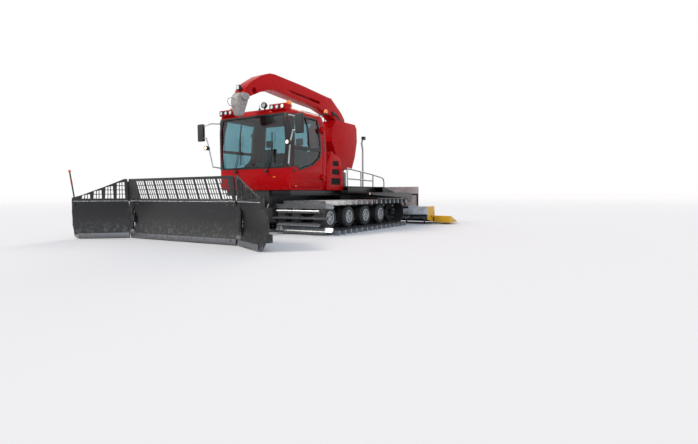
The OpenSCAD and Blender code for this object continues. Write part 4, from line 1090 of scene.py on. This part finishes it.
class GROOMER_OT_blade(bpy.types.Operator):
    """Blade, wings, push frame and cylinders"""

    bl_idname = "groomer.blade"
    bl_label = "Blade"

    def execute(self, context):
        def steel_foot(centre, normal):
            return 1 if centre.z < 0.12 and normal.y < 0.5 else 0

        dressed("blade_center", ["blade_enamel", "bare_steel"], steel_foot, edge=0.002,
                dropped=lambda c, tops: tops > 0.81 and abs(c.y + 3.7) < 0.045)
        for node in ("wing_left", "wing_right"):
            dressed(node, ["blade_enamel", "bare_steel"], steel_foot, edge=0.002)
        coated("marker_pole", "moulded_black", smooth=50)
        for node in ("push_frame", "swing_head", "blade_lift_barrels", "wing_barrel_left", "wing_barrel_right"):
            dressed(node, "black_enamel", edge=0.003)
        for node in ("blade_lift_rods", "wing_rod_left", "wing_rod_right"):
            coated(node, "hard_chrome", smooth=50)

        # Windows of the mesh: foot, head and lean; then their number, the first one's x, the pitch and the bar
        low, high, slant = 0.845, 1.21, -0.11
        windows, start, pitch, bar = 9, -1.22, 2.67 / 9, 0.044
        rows = max(2, round((high - low) / context.scene.groomer_sizes.mesh_pitch))
        upright, turns, level = [], [], []
        for i in range(windows):
            for k in (1, 2, 3):
                x = start + i * pitch + bar + (pitch - bar) * k / 4 + slant / 2
                z = (low + high) / 2
                upright.append((x, mesh_plane(z), z))
                turns.append((0.0646, math.atan2(slant, high - low), 0))
        for k in range(1, rows):
            z = low + (high - low) * k / rows
            shift = slant * k / rows
            level.append(((start + bar + start + windows * pitch) / 2 + shift, mesh_plane(z), z))
        length = math.hypot(slant, high - low) + 0.004
        sheet = Shape()

        def leaning(x, z, out):
            return (x, mesh_plane(z) + out, z)

        end, last = 1.52, start + windows * pitch
        outlines = [
            rectangle(-end, 0.792, end, low),
            rectangle(-end, high, end, 1.26),
            [(-end, low), (start + bar, low), (start + bar + slant, high), (-end, high)],
            [(last, low), (end, low), (end, high), (last + slant, high)],
        ]
        for x in [start + i * pitch for i in range(1, windows)]:
            outlines.append([(x, low), (x + bar, low), (x + bar + slant, high), (x + slant, high)])
        for outline in outlines:
            sheet.slab(outline, -0.01, 0.01, leaning)
        sheet.piece("mesh_sheet", "blade", "blade_enamel", 0.002)
        repeats("mesh_uprights", upright, "bar", {"Size": (0.015, 0.008, length)}, "blade", "blade_enamel",
                turns)
        repeats("mesh_levels", level, "bar", {"Size": (windows * pitch - bar + 0.02, 0.008, 0.015)}, "blade",
                "blade_enamel")

        ledge = Shape()
        ledge.box((-1.515, -3.7, 0.789), (1.515, -3.664, 0.801))
        ledge.piece("mould_ledge", "blade", "frosted_steel", 0.003)
        levels = [0.128 + 0.66 * k / 18 for k in range(19)]
        face = Shape()
        wrapped(face, [[(-1.516 + 3.032 * k / 12, mould_front(z), z) for k in range(13)] for z in levels])
        face.piece("mould_skin", "blade", "blade_enamel", smooth=60)
        bolts = [(x, y, z) for y, z in ((mould_front(0.74) - 0.006, 0.74), (-3.7, 0.83))
                 for x in (-1.46, -1.3, 1.3, 1.46)]
        bolts += [(-1.4 + 0.35 * k, -3.703, 0.09) for k in range(9)]
        repeats("blade_bolts", bolts, "bolt", {"Radius": 0.014, "Depth": 0.02}, "blade", "bare_steel",
                [(math.pi / 2, 0, 0)] * len(bolts))

        posts = Shape()
        posts.tube([(*WING_AXIS, 0.06), (*WING_AXIS, 1.215)], 0.028, 16)
        posts.piece("hinge_posts", "blade", "blade_enamel", 0.003, mirrored=True)

        for body, (side, degrees) in WINGS.items():
            to_space = wing_place(side, degrees)
            mesh = Shape()

            def bar_between(first, second, wide=0.015, thick=0.008):
                along = (Vector(second) - Vector(first)).normalized()
                across = Vector((-along.y, along.x)) * wide / 2
                corners = []
                for x, z in (first, second):
                    for sign, deep in ((-1, -1), (1, -1), (1, 1), (-1, 1)):
                        px, pz = x + across.x * sign, z + across.y * sign
                        corners.append(to_space(px, mesh_plane(pz) + deep * thick / 2, pz))
                mesh.put(corners, BLOCK_FACES)

            for i in range(4):
                x0 = 0.11 + 0.23 * i
                tops = ((x0, 1.195 - 0.085 * i), (x0 + 0.15, 1.17 - 0.085 * i))
                for k in (1, 2):
                    head = x0 + 0.15 * k / 3
                    bar_between((x0 + 0.17 * k / 3, 0.848), (head, along_steps(tops, head)))
                for k in range(1, 5):
                    z = 0.85 + 0.09 * k
                    if z < tops[1][1] - 0.02:
                        bar_between((x0 - 0.004, z), (x0 + 0.166, z))
            rim = Shape()
            rim.prism((0.05, 1.14), rectangle(-3.702, 0.79, -3.664, 0.801), to_space)
            skin = Shape()
            rows = []
            for z in levels:
                tip = along_steps([(0.06, 1.14), (0.3, 1.2), (0.56, 1.2), (0.87, 1.15)], z) - 0.008
                row = [to_space(0.06 + (tip - 0.06) * k / 8, mould_front(z), z) for k in range(9)]
                rows.append(row[::side])
            wrapped(skin, rows)
            skin.piece(body + "_skin", body, "blade_enamel", smooth=60)
            flap = Shape()
            flap.prism((-0.03, 0.075), rectangle(-3.674, 0.79, -3.668, 1.21), to_space)
            flap.piece(body + "_flap", body, "belt_rubber", 0.001)
            mesh.piece(body + "_mesh", body, "blade_enamel")
            rim.piece(body + "_ledge", body, "frosted_steel", 0.003)

        sleeve = Shape()
        for slot, (shares, radii) in enumerate((
            ((0.4, 0.42, 0.64, 0.66), (0.0145, 0.0165, 0.0165, 0.0145)),
            ((0.9, 0.92, 0.97, 1.0), (0.0145, 0.025, 0.025, 0.014)),
        )):
            sleeve.tube([POLE[0].lerp(POLE[1], t) for t in shares], radii, 12, slot)
        sleeve.piece("pole_sleeves", "wing_right", ["signal_red", "signal_orange"], smooth=50)
        return {"FINISHED"}


class GROOMER_OT_tiller(bpy.types.Operator):
    """Tiller with its finishers"""

    bl_idname = "groomer.tiller"
    bl_label = "Tiller"

    def execute(self, context):
        def housing_rule(centre, normal):
            if abs(centre.x) > 2.518:
                return 2
            return 1 if centre.z > 0.56 else 0

        dressed("tiller_frame", "black_enamel", edge=0.003)
        dressed("tiller_housing", ["frosted_grey", "guard_sheet", "moulded_yellow"], housing_rule, edge=0.004)
        coated("tiller_rotor", "bare_steel")
        coated("finisher_comb", "belt_rubber")
        dressed("side_finisher_left", "moulded_yellow", edge=0.006)
        dressed("side_finisher_right", "moulded_yellow", edge=0.006)
        dressed("tiller_lift_barrels", "black_enamel", edge=0.002)
        coated("tiller_lift_rods", "hard_chrome", smooth=50)

        bracket = Shape()
        bracket.box((1.6, 3.542, 0.885), (2.075, 3.562, 0.925))
        bracket.box((1.62, 3.546, 0.54), (1.66, 3.562, 0.9))
        bracket.box((2.03, 3.546, 0.54), (2.07, 3.562, 0.9))
        bracket.piece("guard_brackets", "tiller", "moulded_black", 0.003, mirrored=True)
        bolts = [(side * x, 3.54, z) for side in (1, -1) for x in (1.64, 2.05) for z in (0.62, 0.75, 0.905)]
        bolts += [(-1.5 + 0.5 * k, 3.558, 0.62) for k in range(7)]
        repeats("guard_bolts", bolts, "bolt", {"Radius": 0.011, "Depth": 0.014}, "tiller", "bare_steel",
                [(math.pi / 2, 0, 0)] * len(bolts))
        ribs = [(-2.0 + 0.4 * k, 3.585, 0.84) for k in range(11)]
        repeats("guard_ribs", ribs, "bar", {"Size": (0.03, 0.04, 0.5)}, "tiller", "guard_sheet", edge=0.004)
        return {"FINISHED"}


class GROOMER_OT_cab_fittings(bpy.types.Operator):
    """Lamps, mirrors, wipers and the cab's inside"""

    bl_idname = "groomer.cab_fittings"
    bl_label = "Cab fittings"

    def execute(self, context):
        def lamp_rule(centre, normal):
            faces_front = normal.y < -0.5
            if centre.z < 2.3:
                return 1 if faces_front else 4
            if math.hypot(abs(centre.x) - 0.88, centre.y + 1.3) < 0.068 and centre.z > 2.9:
                return 2
            if centre.y < -1.6005:
                return 4 if not faces_front else 1 if centre.x > 0.85 else 3
            return 0

        dressed("lamps", ["red_enamel", "lit_lens", "amber_dome", "clear_lens", "moulded_black"], lamp_rule,
                0.01, rounds=((lambda p: p.z > 3.04, 0.03),))
        dressed("mirrors", ["moulded_black", "zinc_coat"], lambda c, n: 0 if abs(c.x) > 1.405 else 1, 0.003, 50,
                rounds=((lambda p: abs(p.x) > 1.4 and abs(abs(p.y + 1.74) - 0.04) < 0.002, 0.024),))
        coated("wipers", "moulded_black")
        coated("dashboard", "moulded_black")

        rings = Shape()
        for x in (0.64, 0.79, 0.94):
            rings.lathe([(0.04, 0.0), (0.042, 0.006), (0.051, 0.006), (0.055, 0.0), (0.055, -0.014),
                         (0.049, -0.016)], (x, -1.617, 2.88), (0, -1, 0), 28)
        rings.lathe([(0.042, 0.0), (0.044, 0.006), (0.053, 0.006), (0.057, -0.002), (0.057, -0.02),
                     (0.05, -0.022)], (1.25, -1.848, 2.05), (0, -1, 0), 28)
        rings.lathe([(0.064, 0.0), (0.073, 0.004), (0.073, 0.03), (0.064, 0.036)], (0.88, -1.3, 2.915),
                    (0, 0, 1), 28)
        rings.piece("lamp_rings", "chassis", "moulded_black", smooth=40, mirrored=True)
        search = Shape()
        search.lathe([(0, 0.004), (0.03, 0.002), (0.052, -0.004)], (0.3, -1.5, 2.975), (0, -1, 0), 28, 1)
        search.lathe([(0.052, -0.004), (0.054, 0.006), (0.066, 0.006), (0.07, 0.0), (0.07, -0.05),
                      (0.055, -0.08), (0, -0.09)], (0.3, -1.5, 2.975), (0, -1, 0), 28)
        search.tube(at(0.3, (-1.455, 2.915), (-1.455, 2.87)), 0.018, 12)
        search.piece("search_lamp", "chassis", ["moulded_black", "clear_lens"], smooth=40)

        mirror = Shape()
        mirror.slab(rounded(-0.082, -0.192, 0.082, 0.192, 0.03), -0.003, 0.0035, facing(1.508, -1.7, 2.44))
        mirror.slab(rounded(-0.1, -0.21, 0.1, 0.21, 0.04), -0.006, 0.002, facing(1.508, -1.742, 2.44), 1)
        mirror.piece("mirror_glasses", "chassis", ["mirror_glass", "zinc_coat"], 0.001, mirrored=True)

        wiper = Shape()
        for side in (-1, 1):
            x = side * 0.48
            wiper.tube([(x - 0.045, -1.652, 1.44), (x + 0.135, -1.668, 1.94)], 0.006, 8)
            wiper.lathe([(0, 0), (0.03, 0), (0.03, 0.012), (0.02, 0.02), (0, 0.022)], (x, -1.655, 1.45),
                        (0, -1, 0), 16)
            wiper.lathe([(0, 0), (0.022, 0), (0.02, 0.01), (0, 0.014)], (x - 0.045, -1.648, 1.44),
                        (0, -1, 0), 16)
        wiper.piece("wiper_arms", "chassis", "moulded_black", smooth=50)

        # Height of the cab's floor, and how far each seat stands from the middle
        floor, seat_x = 1.065, 0.48
        for name, low, high in (
            ("seat_cushion", (0.22, -1.0, floor + 0.33), (0.74, -0.46, floor + 0.46)),
            ("seat_back", (0.23, -0.44, floor + 0.35), (0.73, -0.32, floor + 1.05)),
            ("seat_head", (0.36, -0.43, floor + 1.06), (0.6, -0.33, floor + 1.26)),
        ):
            stuffed(name, low, high, [(-2 * seat_x, 0, 0)], "chassis", "seat_cloth")
        base = Shape()
        for x in (-seat_x, seat_x):
            base.box((x - 0.18, -0.88, floor), (x + 0.18, -0.52, floor + 0.335))
            base.box((x - 0.2, -0.46, floor + 0.38), (x + 0.2, -0.44, floor + 0.44))
            for bar_x in (x - 0.05, x + 0.05):
                base.tube(at(bar_x, (-0.38, floor + 1.03), (-0.38, floor + 1.08)), 0.008, 8)
            for side in (-1, 1):
                arm, post = x + side * 0.29, x + side * 0.275
                base.box((arm - 0.03, -0.8, floor + 0.58), (arm + 0.03, -0.42, floor + 0.63))
                base.box((post - 0.015, -0.45, floor + 0.4), (post + 0.015, -0.41, floor + 0.6))
                base.tube(at(arm, (-0.77, floor + 0.62), (-0.79, floor + 0.74)), 0.018, 10)
        stand = base.piece("seat_frames", "chassis", "moulded_black", 0.006)
        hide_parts("seats")

        panel = Shape()
        panel.box((0.25, -1.47, floor + 0.38), (0.7, -1.4, floor + 0.42))
        on_panel = facing(0.12, -1.43, floor + 0.52)
        panel.slab(rounded(-0.13, -0.09, 0.13, 0.09, 0.015), 0.0, 0.03, on_panel)
        panel.slab(rounded(-0.115, -0.075, 0.115, 0.075, 0.008), 0.029, 0.032, on_panel, 1)
        panel.piece("dash_panel", "chassis", ["moulded_black", "mirror_glass"], 0.003)
        return {"FINISHED"}


# The photograph's camera: its place, how far it is turned left, tipped down and rolled, in degrees, the focal
# length as a share of the picture's width, and the width of its film in millimetres
CAMERA_PLACE, CAMERA_TURNS = (7.425, -9.667, 0.929), (30.657, 3.548, -0.221)
CAMERA_FOCAL, CAMERA_FILM = 455.6 / 698, 36


class GROOMER_OT_stage(bpy.types.Operator):
    """Floor, light, backdrop and camera"""

    bl_idname = "groomer.stage"
    bl_label = "Stage"

    def execute(self, context):
        mesh = bpy.data.meshes.new("floor")
        mesh.from_pydata([(-220, -80, 0), (220, -80, 0), (220, 380, 0), (-220, 380, 0)], [], [(0, 1, 2, 3)])
        made = placed("floor", mesh)
        pale, tree, shader, place = new_finish("pale_floor", Roughness=0.95, Specular_IOR_Level=0.0)
        away = add(tree, "ShaderNodeVectorMath", feeds={0: place}, operation="LENGTH").outputs["Value"]
        fade = add(tree, "ShaderNodeMapRange", {"From Min": 14.0, "From Max": 70.0}, {"Value": away})
        colour_from(tree, shader, fade.outputs["Result"], "#f1f2f4", "#ffffff")
        mesh.materials.append(pale)

        world = bpy.data.worlds.new("studio")
        context.scene.world = world
        world.use_nodes = True
        tree = world.node_tree
        tree.nodes.clear()
        path = add(tree, "ShaderNodeLightPath")
        seen = combined(tree, path.outputs["Is Camera Ray"], path.outputs["Is Transmission Ray"], "MAXIMUM")
        seen = combined(tree, seen, path.outputs["Is Glossy Ray"], "MAXIMUM")
        light = add(tree, "ShaderNodeBackground", {"Color": linear("#e6edf8"), "Strength": 0.62})
        white = add(tree, "ShaderNodeBackground", {"Color": (1, 1, 1, 1), "Strength": 1.0})
        mix = add(tree, "ShaderNodeMixShader",
                  feeds={0: seen, 1: light.outputs["Background"], 2: white.outputs["Background"]})
        add(tree, "ShaderNodeOutputWorld", feeds={"Surface": mix.outputs["Shader"]})

        for name, source, power, spread, colour in (
            ("key", (-7, -8, 9), 1.5, 14, "#fff1df"),
            ("fill", (10, -6, 6), 0.7, 30, "#eef3ff"),
            ("rim", (-5, 12, 7), 0.7, 20, "#ffe9d0"),
        ):
            lamp = bpy.data.lights.new(name, "SUN")
            lamp.energy = power
            lamp.angle = math.radians(spread)
            lamp.color = linear(colour)[:3]
            holder = placed(name, lamp)
            holder.location = source
            holder.rotation_mode = "QUATERNION"
            holder.rotation_quaternion = (-Vector(source)).to_track_quat("-Z", "Y")

        yaw, pitch, roll = (math.radians(a) for a in CAMERA_TURNS)
        ahead = Vector((-math.sin(yaw) * math.cos(pitch), math.cos(yaw) * math.cos(pitch),
                        -math.sin(pitch)))
        right = Vector((math.cos(yaw), math.sin(yaw), 0))
        up = right.cross(ahead)
        right, up = right * math.cos(roll) + up * math.sin(roll), up * math.cos(roll) - right * math.sin(roll)
        camera = bpy.data.cameras.new("camera")
        camera.sensor_width = CAMERA_FILM
        camera.lens = CAMERA_FOCAL * CAMERA_FILM
        camera.clip_end = 900
        holder = placed("camera", camera)
        rows = [(right[i], up[i], -ahead[i], CAMERA_PLACE[i]) for i in range(3)]
        holder.matrix_world = Matrix(rows + [(0, 0, 0, 1)])
        context.scene.camera = holder
        context.scene.view_settings.view_transform = "Standard"
        return {"FINISHED"}


class GROOMER_PT_panel(bpy.types.Panel):
    """Lists the steps that dress the groomer"""

    bl_idname = "GROOMER_PT_panel"
    bl_label = "Groomer"
    bl_space_type = "VIEW_3D"
    bl_region_type = "UI"
    bl_category = "Groomer"

    def draw(self, context):
        column = self.layout.column()
        for group in (context.scene.groomer_paint, context.scene.groomer_sizes):
            for key in group.__annotations__:
                column.prop(group, key)
        for step in STEPS:
            column.operator(step.bl_idname)


STEPS = (
    GROOMER_OT_panels,
    GROOMER_OT_running_gear,
    GROOMER_OT_blade,
    GROOMER_OT_tiller,
    GROOMER_OT_cab_fittings,
    GROOMER_OT_stage,
)
CLASSES = (GroomerPaint, GroomerSizes) + STEPS + (GROOMER_PT_panel,)


def register():
    for one in CLASSES:
        bpy.utils.register_class(one)
    bpy.types.Scene.groomer_paint = PointerProperty(type=GroomerPaint)
    bpy.types.Scene.groomer_sizes = PointerProperty(type=GroomerSizes)


def unregister():
    del bpy.types.Scene.groomer_sizes
    del bpy.types.Scene.groomer_paint
    for one in reversed(CLASSES):
        bpy.utils.unregister_class(one)


def main():
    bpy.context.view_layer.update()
    register()
    bpy.ops.groomer.panels()
    bpy.ops.groomer.running_gear()
    bpy.ops.groomer.blade()
    bpy.ops.groomer.tiller()
    bpy.ops.groomer.cab_fittings()
    bpy.ops.groomer.stage()


if __name__ == "__main__":
    main()
